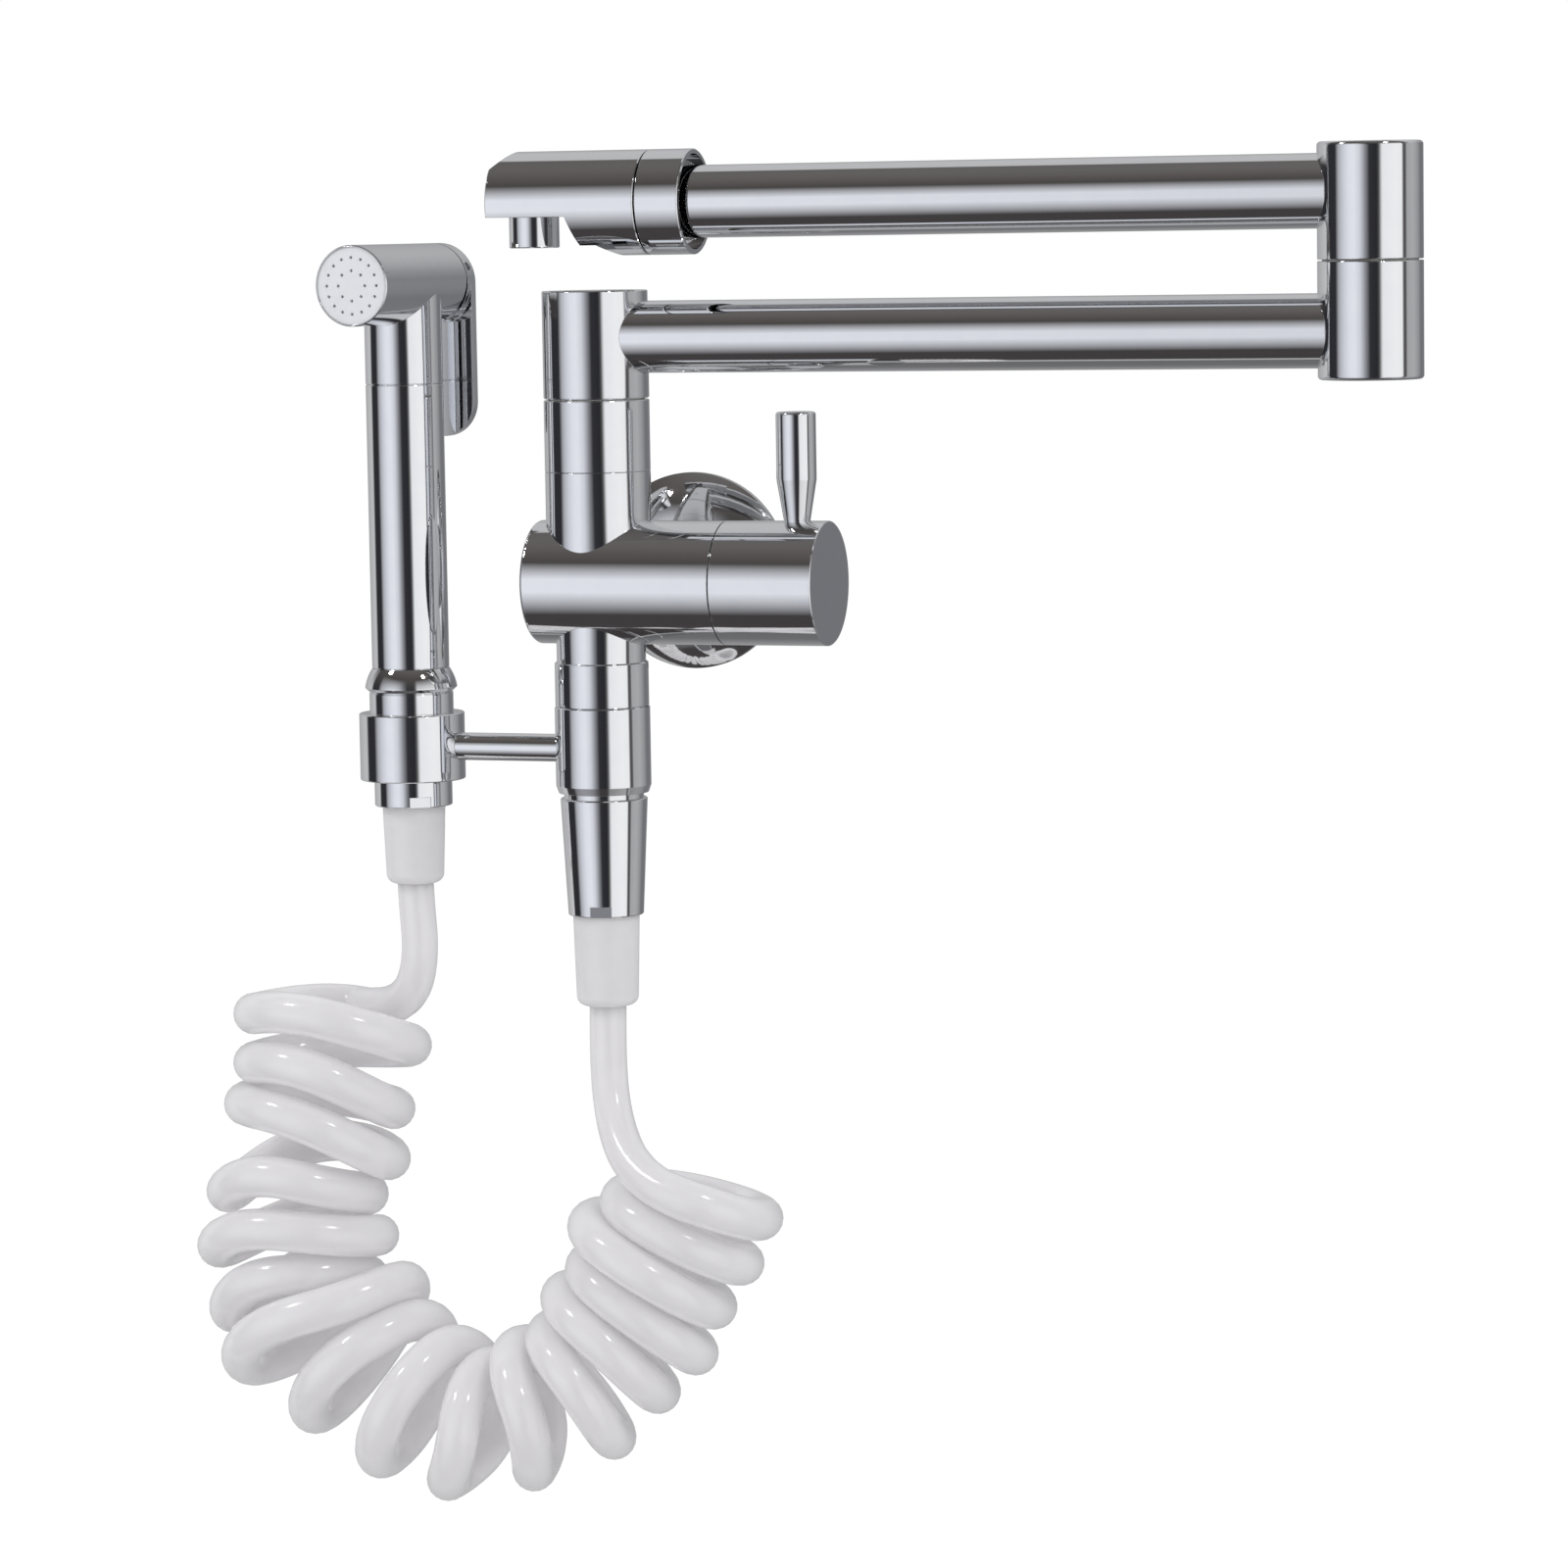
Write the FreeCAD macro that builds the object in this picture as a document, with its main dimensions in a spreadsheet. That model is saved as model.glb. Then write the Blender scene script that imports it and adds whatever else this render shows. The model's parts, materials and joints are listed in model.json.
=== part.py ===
import FreeCAD, Part
import math
import os
import types

import Sketcher

# Wall tap with a double-jointed folding spout and a hand spray on a curly hose.
# Frame: origin on the wall, at the centre of the inlet. +X along the wall, -Y out of the wall, +Z up.
# Millimetres and degrees.

V = FreeCAD.Vector
doc = FreeCAD.newDocument("FoldingTap")

sizes = {
    # where the tap stands
    "wall_reach": 58.0,  # wall to the axis of the valve body
    "riser_offset": 10.5,  # inlet axis to the riser axis, along the wall
    "fit": 0.05,  # radial clearance of every seat and running fit
    "seam": 0.4,  # visible line between two pieces that turn on each other
    "chamfer": 0.3,  # broken edge of a visible joint line
    "rim_round": 1.2,  # rounded edge of the large cylinders
    # inlet and wall flange
    "thread_r": 10.478,  # G 1/2 outside radius
    "thread_reach": 16.0,  # thread that goes into the wall
    "nipple_r": 10.3,
    "nipple_bore_r": 7.5,
    "nipple_seat": 15.0,  # nipple inside the boss
    "boss_r": 13.5,
    "boss_gap": 3.0,  # end of the boss to the wall
    "washer_thick": 1.5,
    "washer_wall": 2.5,
    "flange_r": 31.0,
    "flange_rim": 2.2,
    "flange_height": 10.0,
    "flange_wall": 1.5,
    "flange_dome_r": 30.0,
    # valve body and cartridge
    "body_r": 19.0,
    "body_left": 19.5,
    "body_right": 41.4,
    "neck_r": 13.75,
    "neck_low": 24.5,
    "water_r": 6.0,
    "chamber_r": 14.55,
    "chamber_floor": 7.0,
    "link_r": 5.0,
    "inlet_stop": 2.5,  # metal between the inlet bore and the cartridge
    "supply_r": 3.0,
    "supply_place": 14.5,  # riser axis to the supply hole into the cartridge
    "nut_seat": 32.0,
    "nut_wall": 1.5,
    "nut_long": 7.0,
    "nut_bore_r": 9.0,
    "housing_cup_r": 12.0,
    "housing_floor": 1.5,
    "housing_room": 5.0,
    "housing_groove": 1.3,
    "window_r": 2.0,
    "windows": 6,
    "disc_thick": 3.0,
    "disc_port_r": 3.0,
    "disc_port_offset": 6.5,
    "spindle_r": 4.0,
    "spindle_end": 62.0,
    "spindle_flat": 1.0,
    # handle
    "cap_long": 32.5,
    "cap_wall": 2.2,
    "cap_end": 5.0,
    "hub_r": 8.0,
    "hub_start": 50.0,
    "lever_place": 64.3,
    "lever_seat": 18.5,
    "lever_base_r": 4.0,
    "lever_r": 6.1,
    "lever_taper": 13.0,
    "lever_long": 33.5,
    "lever_round": 0.9,
    "stud_r": 2.5,
    "stud_long": 12.0,
    # riser
    "riser_r": 16.2,
    "riser_seam_low": 34.0,
    "riser_seam_high": 56.0,
    "socket_r": 11.0,
    "socket_deep": 9.5,
    "spigot_r": 10.0,
    "spigot_bore_r": 6.5,
    "spigot_long": 15.5,
    "oring_r": 0.9,
    "oring_first": 3.5,
    "oring_pitch": 3.0,
    "keeper_from_end": 2.8,
    "keeper_deep": 1.2,
    "keeper_wide": 2.4,
    "grub_r": 1.0,
    "thrust_thick": 1.0,
    "thrust_inset": 1.4,
    # arms
    "arm_height": 75.0,
    "arm_long": 242.0,
    "arm_rise": 40.8,
    "tube_r": 11.0,
    "tube_wall": 1.4,
    "cap_over_tube": 3.25,  # metal above or below the tube at a swivel's closed end
    "end_wall": 4.0,
    "tube_seat": 1.1,  # tube end outside the spigot socket
    "elbow_r": 15.5,
    "elbow_chamber_r": 9.0,
    "elbow_spigot_low": 11.0,
    # spout head
    "head_r": 16.0,
    "head_left": 29.3,
    "head_seam": 19.1,
    "collar_right": 33.0,
    "collar_recess_r": 14.5,
    "collar_recess": 5.0,
    "collar_step": 4.0,
    "head_spigot_long": 15.0,
    "head_bevel": 5.6,
    "head_flat": 4.0,
    "head_cut_end": 3.6,  # riser axis to the end of the flat
    "head_cut_run": 2.8,
    "head_shelf": 12.8,  # below the axis, the short second flat
    "head_shelf_end": 4.2,
    "head_cut_out": 12.3,
    "head_water_r": 4.0,
    "head_water_up": 2.5,  # the passage lies above the axis, clear of the flat
    "aerator_place": 19.3,
    "aerator_r": 7.7,
    "aerator_low": 13.4,
    "aerator_neck_r": 6.6,
    "aerator_neck": 5.0,
    "aerator_bore_r": 6.3,
    "mesh_thick": 4.0,
    "mesh_inset": 0.6,
    "mesh_hole_r": 0.6,
    "mesh_ring_r": 4.2,
    "mesh_holes": 10,
    # lower outlet and spray holder
    "ring_r": 14.45,
    "ring_low": 38.15,
    "sleeve_r": 14.7,
    "sleeve_low": 64.8,
    "sleeve_bevel": 0.8,
    "sleeve_bevel_high": 2.3,
    "union_r": 10.48,
    "union_bore_r": 6.5,
    "union_high": 16.0,
    "union_low": 78.5,
    "nut_neck_r": 12.3,
    "nut_neck_low": 66.5,
    "nut_top_r": 13.45,
    "nut_foot_r": 11.65,
    "nut_low": 102.7,
    "connector_low": 131.0,
    "connector_top_r": 10.3,
    "connector_foot_r": 9.6,
    "connector_flange_r": 11.2,
    "connector_flange": 4.0,
    "connector_round": 3.0,
    "connector_bore_r": 4.0,
    "notch_wide": 6.6,
    "notch_high": 3.6,
    "notch_deep": 0.8,
    "notch_turn": 12.0,
    "rod_r": 4.3,
    "rod_height": 51.4,
    "rod_seat": 2.0,
    "clip_r": 16.4,
    "clip_bore_r": 12.4,
    "clip_high": 20.8,
    # hand spray
    "spray_place": 63.5,  # riser axis to the handle's axis
    "spray_turn": 6.0,  # the spray face looks this far left of straight out
    "handle_r": 12.0,
    "handle_wall": 1.8,
    "handle_low": 27.0,
    "handle_seam": 61.1,
    "spray_height": 91.9,
    "spray_r": 12.4,
    "spray_front": 32.4,
    "spray_back": 19.5,
    "spray_skirt": 10.0,
    "face_r": 11.8,
    "face_thick": 1.8,
    "face_inset": 0.3,
    "face_hole_r": 0.5,
    "face_outer_r": 8.6,
    "face_inner_r": 4.6,
    "face_outer_holes": 16,
    "face_inner_holes": 8,
    "spray_chamber": 9.0,
    "flare_r": 14.3,
    "flare_high": 6.1,
    "flare_under": 1.4,
    "ferrule_r": 13.05,
    "ferrule_plug": 10.0,
    "ferrule_thread_r": 10.4,
    "ferrule_thread": 18.0,
    "ferrule_bore_r": 6.0,
    "spray_nut_r": 12.1,
    "spray_nut_low": 70.0,
    "spray_connector_low": 94.4,
    "spray_connector_top_r": 9.8,
    "spray_connector_foot_r": 9.0,
    "spray_notch_turn": 33.0,
    # trigger and valve
    "trigger_gap": 0.5,
    "trigger_cap": 5.0,
    "tongue_thick": 3.0,
    "tongue_low": 44.0,
    "tongue_round": 11.0,
    "pivot_up": 5.0,  # above the spray axis
    "pivot_back": 2.5,  # behind the back of the head
    "pivot_r": 1.25,
    "pivot_half": 9.8,
    "lug_half": 3.0,
    "lug_reach": 4.2,
    "back_slope": 2.6,
    "valve_drop": 6.0,  # below the spray axis
    "valve_r": 4.5,
    "valve_front": 16.0,
    "valve_step": 2.0,
    "stem_r": 1.5,
    "stem_disc_r": 4.0,
    "stem_disc": 2.0,
    "stem_seal": 1.5,
    "stem_clear": 0.3,
    "slot_room": 0.5,
    "bush_r": 3.6,
    "bush_start": 8.0,
    "bush_long": 7.0,
    "port_r": 2.5,
    "feed_r": 2.2,
    "spring_r": 2.7,
    "spring_wire_r": 0.45,
    "spring_turns": 5,
    # curly hose
    "hose_r": 6.1,
    "curl_r": 21.5,
    "curls": 17,
    "curl_lead": 0.033,
    "tap_straight": 20.0,
    "spray_straight": 13.0,
    "least_gap": 0.4,
}

# Control points of the curls' middle line, a quadratic B-spline from the spray end to the tap end.
# Reaches along the wall and up, from the riser axis.
coil_route = [
    (-91.5, -128.0),
    (-99.0, -166.8),
    (-109.5, -195.6),
    (-108.3, -221.6),
    (-94.4, -246.3),
    (-58.9, -265.6),
    (-27.8, -263.2),
    (0.2, -242.2),
    (16.3, -217.4),
    (26.5, -186.6),
]

# The turns, from the spray end, as uneven as the real ones. In each row: the outer tip's share of the
# middle line and its reach out from it, the front's share and depth, the inner tip's share and reach,
# and the share at the back, before the next turn.
coil_turns = [
    (0.051, 24.5, 0.021, 21.5, 0.042, 26.9, 0.078),
    (0.105, 21.5, 0.079, 21.5, 0.114, 25.2, 0.135),
    (0.154, 21.8, 0.135, 21.6, 0.166, 27.6, 0.184),
    (0.249, 20.8, 0.204, 21.1, 0.210, 23.5, 0.268),
    (0.295, 23.8, 0.264, 21.2, 0.285, 28.5, 0.321),
    (0.346, 24.6, 0.319, 18.7, 0.354, 20.6, 0.393),
    (0.387, 27.3, 0.367, 24.3, 0.422, 31.0, 0.444),
    (0.448, 20.5, 0.443, 21.5, 0.491, 25.2, 0.501),
    (0.521, 20.1, 0.526, 21.5, 0.556, 22.3, 0.564),
    (0.581, 19.5, 0.611, 21.5, 0.623, 16.6, 0.637),
    (0.653, 17.6, 0.693, 21.4, 0.689, 20.3, 0.704),
    (0.731, 20.0, 0.763, 21.5, 0.748, 18.9, 0.767),
    (0.793, 18.7, 0.818, 20.9, 0.803, 24.2, 0.822),
    (0.842, 21.0, 0.866, 20.5, 0.868, 22.4, 0.873),
    (0.888, 19.7, 0.914, 22.8, 0.919, 26.7, 0.923),
    (0.941, 22.8, 0.958, 19.7, 0.963, 19.4, 0.973),
    (0.992, 23.8, 1.004, 21.7, 0.982, 16.6, 0.997),
]


class Size:
    """A length or number with the formula that ties a property to the sheet."""

    def __init__(self, value, formula):
        self.value = value
        self.formula = formula

    def __add__(self, other):
        return Size(self.value + plain(other), f"({self.formula} + {formula(other)})")

    def __radd__(self, other):
        return Size(plain(other) + self.value, f"({formula(other)} + {self.formula})")

    def __sub__(self, other):
        return Size(self.value - plain(other), f"({self.formula} - {formula(other)})")

    def __rsub__(self, other):
        return Size(plain(other) - self.value, f"({formula(other)} - {self.formula})")

    def __mul__(self, other):
        return Size(self.value * plain(other), f"({self.formula} * {formula(other)})")

    def __rmul__(self, other):
        return self * other

    def __truediv__(self, other):
        return Size(self.value / plain(other), f"({self.formula} / {formula(other)})")

    def __rtruediv__(self, other):
        return Size(plain(other) / self.value, f"({formula(other)} / {self.formula})")

    def __neg__(self):
        return Size(-self.value, f"(0 - {self.formula})")


def plain(size):
    return size.value if isinstance(size, Size) else size


def formula(size):
    return size.formula if isinstance(size, Size) else repr(size)


def sine(angle):
    return Size(math.sin(math.radians(plain(angle))), f"sin({formula(angle)} * 1 deg)")


def cosine(angle):
    return Size(math.cos(math.radians(plain(angle))), f"cos({formula(angle)} * 1 deg)")


def half_chord(radius, offset):
    """Half the width of a circle at some distance from its centre."""
    return Size(
        math.sqrt(plain(radius) ** 2 - plain(offset) ** 2),
        f"sqrt({formula(radius)} ^ 2 - {formula(offset)} ^ 2)",
    )


def fill_sheet():
    sheet = doc.addObject("Spreadsheet::Sheet", "Sizes")
    for row, (name, number) in enumerate(sizes.items(), start=1):
        sheet.set(f"A{row}", name)
        sheet.set(f"B{row}", str(number))
        sheet.setAlias(f"B{row}", name)
    doc.recompute()
    return types.SimpleNamespace(**{n: Size(v, f"Sizes.{n}") for n, v in sizes.items()})


dim = fill_sheet()
pieces = {}

turn_to = {
    "up": FreeCAD.Rotation(),
    "right": FreeCAD.Rotation(V(0, 1, 0), 90),
    "left": FreeCAD.Rotation(V(0, 1, 0), -90),
    "out": FreeCAD.Rotation(V(1, 0, 0), 90),
    "in": FreeCAD.Rotation(V(1, 0, 0), -90),
}


def bind(thing, prop, size):
    """Ties one property to the sheet."""
    thing.setExpression(prop, formula(size))


def put(thing, x=0, y=0, z=0, axis="up", turn=None):
    """Places a thing, its own +Z pointing along the axis, then turned clockwise from above by turn."""
    rotation = turn_to[axis]
    if turn is not None:
        rotation = FreeCAD.Rotation(V(0, 0, 1), -plain(turn)) * rotation
    thing.Placement = FreeCAD.Placement(V(plain(x), plain(y), plain(z)), rotation)
    for name, size in (("x", x), ("y", y), ("z", z)):
        if isinstance(size, Size):
            bind(thing, f"Placement.Base.{name}", size)
    return thing


def make(kind, **props):
    """A Part primitive whose sizes follow the sheet."""
    thing = doc.addObject(kind, kind.split("::")[1])
    for prop, size in props.items():
        bind(thing, prop, size)
    return thing


def rod(radius, length, **place):
    return put(make("Part::Cylinder", Radius=radius, Height=length), **place)


def block(wide, deep, high, **place):
    return put(make("Part::Box", Length=wide, Width=deep, Height=high), **place)


def ring_seal(radius, thick_r, **place):
    return put(make("Part::Torus", Radius1=radius, Radius2=thick_r), **place)


def cut(base, *tools):
    for tool in tools:
        result = doc.addObject("Part::Cut", "Cut")
        result.Base = base
        result.Tool = tool
        base = result
    return base


def join(*parts):
    result = doc.addObject("Part::MultiFuse", "Join")
    result.Shapes = list(parts)
    result.Refine = True
    return result


def group(*parts):
    result = doc.addObject("Part::Compound", "Group")
    result.Links = list(parts)
    return result


def piece(name, thing):
    """Names a finished piece. The label is the name of its file."""
    thing.Label = name
    pieces[name] = thing
    return thing


def arc_centre(start, end, radius, side):
    """Centre of the arc from start to end, on the left of the way for side 1, on the right for side -1."""
    chord = end - start
    middle = (start + end) * 0.5
    reach = math.sqrt(max(radius**2 - (chord.Length / 2) ** 2, 0))
    across = V(-chord.y, chord.x, 0).normalize()
    return middle + across * (reach * side)


def angle_of(point, centre):
    return math.atan2(point.y - centre.y, point.x - centre.x)


def draw_outline(body, outline, plane="XZ_Plane"):
    """A closed sketch of (reach, height) corners. A corner with (bend radius, side) is reached by an arc."""
    sketch = body.newObject("Sketcher::SketchObject", body.Name + "Outline")
    origin_plane = next(f for f in body.Origin.OriginFeatures if f.Role == plane)
    sketch.AttachmentSupport = [(origin_plane, "")]
    sketch.MapMode = "FlatFace"
    corners = [V(plain(p[0]), plain(p[1]), 0) for p in outline]
    count = len(corners)
    first, last = {}, {}
    for i in range(count):
        start, end = corners[i], corners[(i + 1) % count]
        bend = outline[(i + 1) % count][2:]
        first[i], last[i] = 1, 2
        if not bend:
            sketch.addGeometry(Part.LineSegment(start, end), False)
            continue
        radius, side = plain(bend[0]), bend[1]
        centre = arc_centre(start, end, radius, side)
        begin, finish = angle_of(start, centre), angle_of(end, centre)
        if side < 0:
            begin, finish = finish, begin
            first[i], last[i] = 2, 1
        circle = Part.Circle(centre, V(0, 0, 1), radius)
        sketch.addGeometry(Part.ArcOfCircle(circle, begin, finish), False)
    rules, sized = [], []
    for i in range(count):
        following = (i + 1) % count
        rules.append(Sketcher.Constraint("Coincident", i, last[i], following, first[following]))
    for i, corner in enumerate(outline):
        for kind, size, axis in (("DistanceX", corner[0], -2), ("DistanceY", corner[1], -1)):
            if isinstance(size, Size):
                sized.append((len(rules), size))
                rules.append(Sketcher.Constraint(kind, -1, 1, i, first[i], plain(size)))
            else:
                rules.append(Sketcher.Constraint("PointOnObject", i, first[i], axis))
        if corner[2:]:
            before = (i - 1) % count
            sized.append((len(rules), corner[2]))
            rules.append(Sketcher.Constraint("Radius", before, plain(corner[2])))
    sketch.addConstraint(rules)
    for index, size in sized:
        sketch.setExpression(f"Constraints[{index}]", formula(size))
    return sketch


def turned(outline, **place):
    """A turned piece: an outline of (radius, height) corners swung round its own Z axis."""
    body = doc.addObject("PartDesign::Body", "Turned")
    sketch = draw_outline(body, outline)
    turn = body.newObject("PartDesign::Revolution", body.Name + "Turn")
    turn.Profile = sketch
    turn.ReferenceAxis = (sketch, ["V_Axis"])
    turn.Angle = 360
    return put(body, **place)


def wedge(outline, half, plane="XZ_Plane", **place):
    """A flat-sided cutter: an outline drawn through the whole width of a piece."""
    body = doc.addObject("PartDesign::Body", "Wedge")
    sketch = draw_outline(body, outline, plane)
    pad = body.newObject("PartDesign::Pad", body.Name + "Pad")
    pad.Profile = sketch
    pad.Midplane = True
    bind(pad, "Length", half * 2)
    return put(body, **place)


def pipe(outer, inner, length, **place):
    """A plain tube or ring."""
    outline = [(inner, 0), (outer, 0), (outer, length), (inner, length)]
    return turned(outline, **place)


def edged_pipe(outer, inner, length, low=None, high=None, **place):
    """A tube whose outer edges are broken by a small chamfer at the low and the high end."""
    outline = [(inner, 0)]
    outline += [(outer - low, 0), (outer, low)] if low else [(outer, 0)]
    outline += [(outer, length - high), (outer - high, length)] if high else [(outer, length)]
    outline += [(inner, length)]
    return turned(outline, **place)


# The two upright lines that most pieces stand on.
riser_x = -dim.riser_offset
body_y = -dim.wall_reach
spray_x = riser_x - dim.spray_place
elbow_x = riser_x + dim.arm_long
upper_height = dim.arm_height + dim.arm_rise


def on_riser(z, **more):
    return dict(x=riser_x, y=body_y, z=z, **more)


def on_elbow(z, **more):
    return dict(x=elbow_x, y=body_y, z=z, **more)


def along_body(reach, axis="right"):
    """On the horizontal axis of the valve body, at some reach from the riser."""
    return dict(x=riser_x + reach, y=body_y, axis=axis)


def wall_side():
    """The nipple that screws into the wall, its washer, and the domed flange that covers the hole."""
    root = dim.nipple_seat - dim.boss_gap - dim.washer_thick
    nipple = [
        (dim.nipple_bore_r, 0),
        (dim.thread_r, 0),
        (dim.thread_r, dim.thread_reach),
        (dim.nipple_r, dim.thread_reach),
        (dim.nipple_r, dim.thread_reach + dim.boss_gap + root),
        (dim.nipple_bore_r, dim.thread_reach + dim.boss_gap + root),
    ]
    piece("inlet_nipple", turned(nipple, y=dim.thread_reach, axis="out"))
    washer_y = -(dim.boss_gap + root)
    washer = pipe(dim.nipple_r, dim.nipple_bore_r, dim.washer_thick, y=washer_y, axis="out")
    piece("inlet_washer", washer)

    bore = dim.boss_r + dim.fit
    inner = dim.flange_r - dim.flange_wall
    flange = [
        (bore, dim.flange_height - dim.flange_wall),
        (inner, dim.flange_rim / 2, dim.flange_dome_r, -1),
        (inner, 0),
        (dim.flange_r, 0),
        (dim.flange_r, dim.flange_rim),
        (bore, dim.flange_height, dim.flange_dome_r, 1),
    ]
    piece("wall_flange", turned(flange, axis="out"))


def valve_body():
    """The body casting: a lying cylinder, the riser stub on top, the neck below, the inlet boss behind."""
    shell = [
        (0, 0),
        (dim.body_r - dim.rim_round, 0),
        (dim.body_r, dim.rim_round, dim.rim_round, 1),
        (dim.body_r, dim.body_left + dim.body_right),
        (0, dim.body_left + dim.body_right),
    ]
    boss_long = dim.wall_reach - dim.boss_gap
    solid = join(
        turned(shell, **along_body(-dim.body_left)),
        rod(dim.riser_r, dim.riser_seam_low, **on_riser(0)),
        rod(dim.neck_r, dim.neck_low, **on_riser(-dim.neck_low)),
        rod(dim.boss_r, boss_long, y=body_y, axis="in"),
    )
    through = dim.neck_low + dim.riser_seam_low
    socket_low = dim.riser_seam_low - dim.socket_deep
    inlet_end = dim.chamber_r + dim.inlet_stop
    supply_x = riser_x + dim.supply_place
    casting = cut(
        solid,
        rod(dim.chamber_r, dim.body_right, **along_body(dim.chamber_floor)),
        rod(dim.body_r - dim.cap_wall, dim.body_right, **along_body(dim.nut_seat)),
        rod(dim.water_r, through, **on_riser(-dim.neck_low)),
        rod(dim.socket_r + dim.fit, dim.riser_seam_low, **on_riser(socket_low)),
        rod(dim.union_r + dim.fit, dim.neck_low, **on_riser(-dim.union_high - dim.neck_low)),
        rod(dim.link_r, dim.chamber_floor + dim.inlet_stop, **along_body(0)),
        rod(dim.nipple_bore_r, boss_long, y=body_y + inlet_end, axis="in"),
        rod(dim.supply_r, inlet_end, x=supply_x, y=body_y + dim.inlet_stop, axis="in"),
        rod(dim.nipple_r + dim.fit, dim.nipple_seat, y=-dim.nipple_seat, axis="in"),
    )
    piece("valve_body", casting)


def ported_disc(**place):
    """A ceramic disc with two water ports."""
    disc = rod(dim.housing_cup_r - dim.fit, dim.disc_thick)
    ports = [rod(dim.disc_port_r, dim.disc_thick, x=side * dim.disc_port_offset) for side in (1, -1)]
    return put(cut(disc, *ports), **place)


def cartridge():
    """Seal, housing, two ceramic discs, spindle and the ring nut that holds them in the body."""
    seal_start = dim.chamber_floor
    house_start = seal_start + dim.washer_thick
    house_long = dim.nut_seat - house_start
    disc_start = house_start + dim.housing_floor
    outer = dim.chamber_r - dim.fit
    mouth = outer - dim.washer_wall * 3
    groove = outer - dim.housing_groove
    discs = dim.housing_floor + dim.disc_thick * 2
    room = discs + dim.housing_room
    house = [
        (mouth, 0),
        (outer, 0),
        (outer, discs - dim.window_r),
        (groove, discs - dim.window_r),
        (groove, room),
        (outer, room),
        (outer, house_long),
        (dim.spindle_r + dim.fit, house_long),
        (dim.spindle_r + dim.fit, room),
        (dim.housing_cup_r, room),
        (dim.housing_cup_r, dim.housing_floor),
        (mouth, dim.housing_floor),
    ]
    window_place = discs + dim.housing_room / 2
    step = 360 / plain(dim.windows)
    windows = [
        rod(dim.window_r, outer, z=window_place, axis="right", turn=number * step)
        for number in range(int(plain(dim.windows)))
    ]
    housing = cut(turned(house), *windows)
    seal = pipe(outer, outer - dim.washer_wall, dim.washer_thick, **along_body(seal_start))
    piece("cartridge_seal", seal)
    piece("cartridge_housing", put(housing, **along_body(house_start)))
    piece("ceramic_disc_fixed", ported_disc(**along_body(disc_start)))
    piece("ceramic_disc_turning", ported_disc(**along_body(disc_start + dim.disc_thick)))
    cup_end = house_start + discs
    spindle = rod(dim.spindle_r, dim.spindle_end - cup_end, **along_body(cup_end))
    flat = block(
        dim.spindle_end - dim.hub_start,
        dim.spindle_r + dim.spindle_r,
        dim.spindle_r,
        x=riser_x + dim.hub_start,
        y=body_y - dim.spindle_r,
        z=dim.spindle_r - dim.spindle_flat,
    )
    piece("cartridge_spindle", cut(spindle, flat))
    nut_r = dim.body_r - dim.cap_wall - dim.fit
    piece("cartridge_nut", pipe(nut_r, dim.nut_bore_r, dim.nut_long, **along_body(dim.nut_seat)))


def handle():
    """The cap that turns on the end of the body, and its tapered lever."""
    start = dim.body_right + dim.seam
    hub_long = dim.cap_long - dim.cap_end
    inner = dim.body_r - dim.cap_wall
    shell = [
        (dim.hub_r, dim.hub_start - start),
        (dim.hub_r, hub_long),
        (inner, hub_long),
        (inner, 0),
        (dim.body_r, 0),
        (dim.body_r, dim.cap_long - dim.chamfer),
        (dim.body_r - dim.chamfer, dim.cap_long),
        (0, dim.cap_long),
        (0, dim.hub_start - start),
    ]
    solid = turned(shell, **along_body(start))
    hub_deep = dim.spindle_end - dim.hub_start + dim.fit
    bore = rod(dim.spindle_r + dim.fit, hub_deep, **along_body(dim.hub_start))
    key = block(
        hub_deep,
        dim.spindle_r + dim.spindle_r,
        dim.spindle_r,
        x=riser_x + dim.hub_start,
        y=body_y - dim.spindle_r,
        z=dim.spindle_r - dim.spindle_flat + dim.fit,
    )
    lever_x = riser_x + dim.lever_place
    low = dim.lever_seat - dim.stud_long
    stud_hole = rod(dim.stud_r + dim.fit, dim.body_r, x=lever_x, y=body_y, z=low)
    spot = rod(dim.lever_base_r + dim.fit, dim.body_r, x=lever_x, y=body_y, z=dim.lever_seat)
    piece("handle_cap", cut(solid, cut(bore, key), stud_hole, spot))

    top = dim.stud_long + dim.lever_long
    lever = [
        (0, 0),
        (dim.stud_r, 0),
        (dim.stud_r, dim.stud_long),
        (dim.lever_base_r, dim.stud_long),
        (dim.lever_base_r, dim.stud_long + dim.chamfer),
        (dim.lever_r, dim.stud_long + dim.lever_taper),
        (dim.lever_r, top - dim.lever_round),
        (dim.lever_r - dim.lever_round, top, dim.lever_round, 1),
        (0, top),
    ]
    piece("handle_lever", turned(lever, x=lever_x, y=body_y, z=low))


def groove_depths(spigot_top):
    """Heights of the two seal grooves and of the keeper groove on a spigot, from its shoulder."""
    first = dim.oring_first
    return first, first + dim.oring_pitch, spigot_top - dim.keeper_from_end


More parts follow.
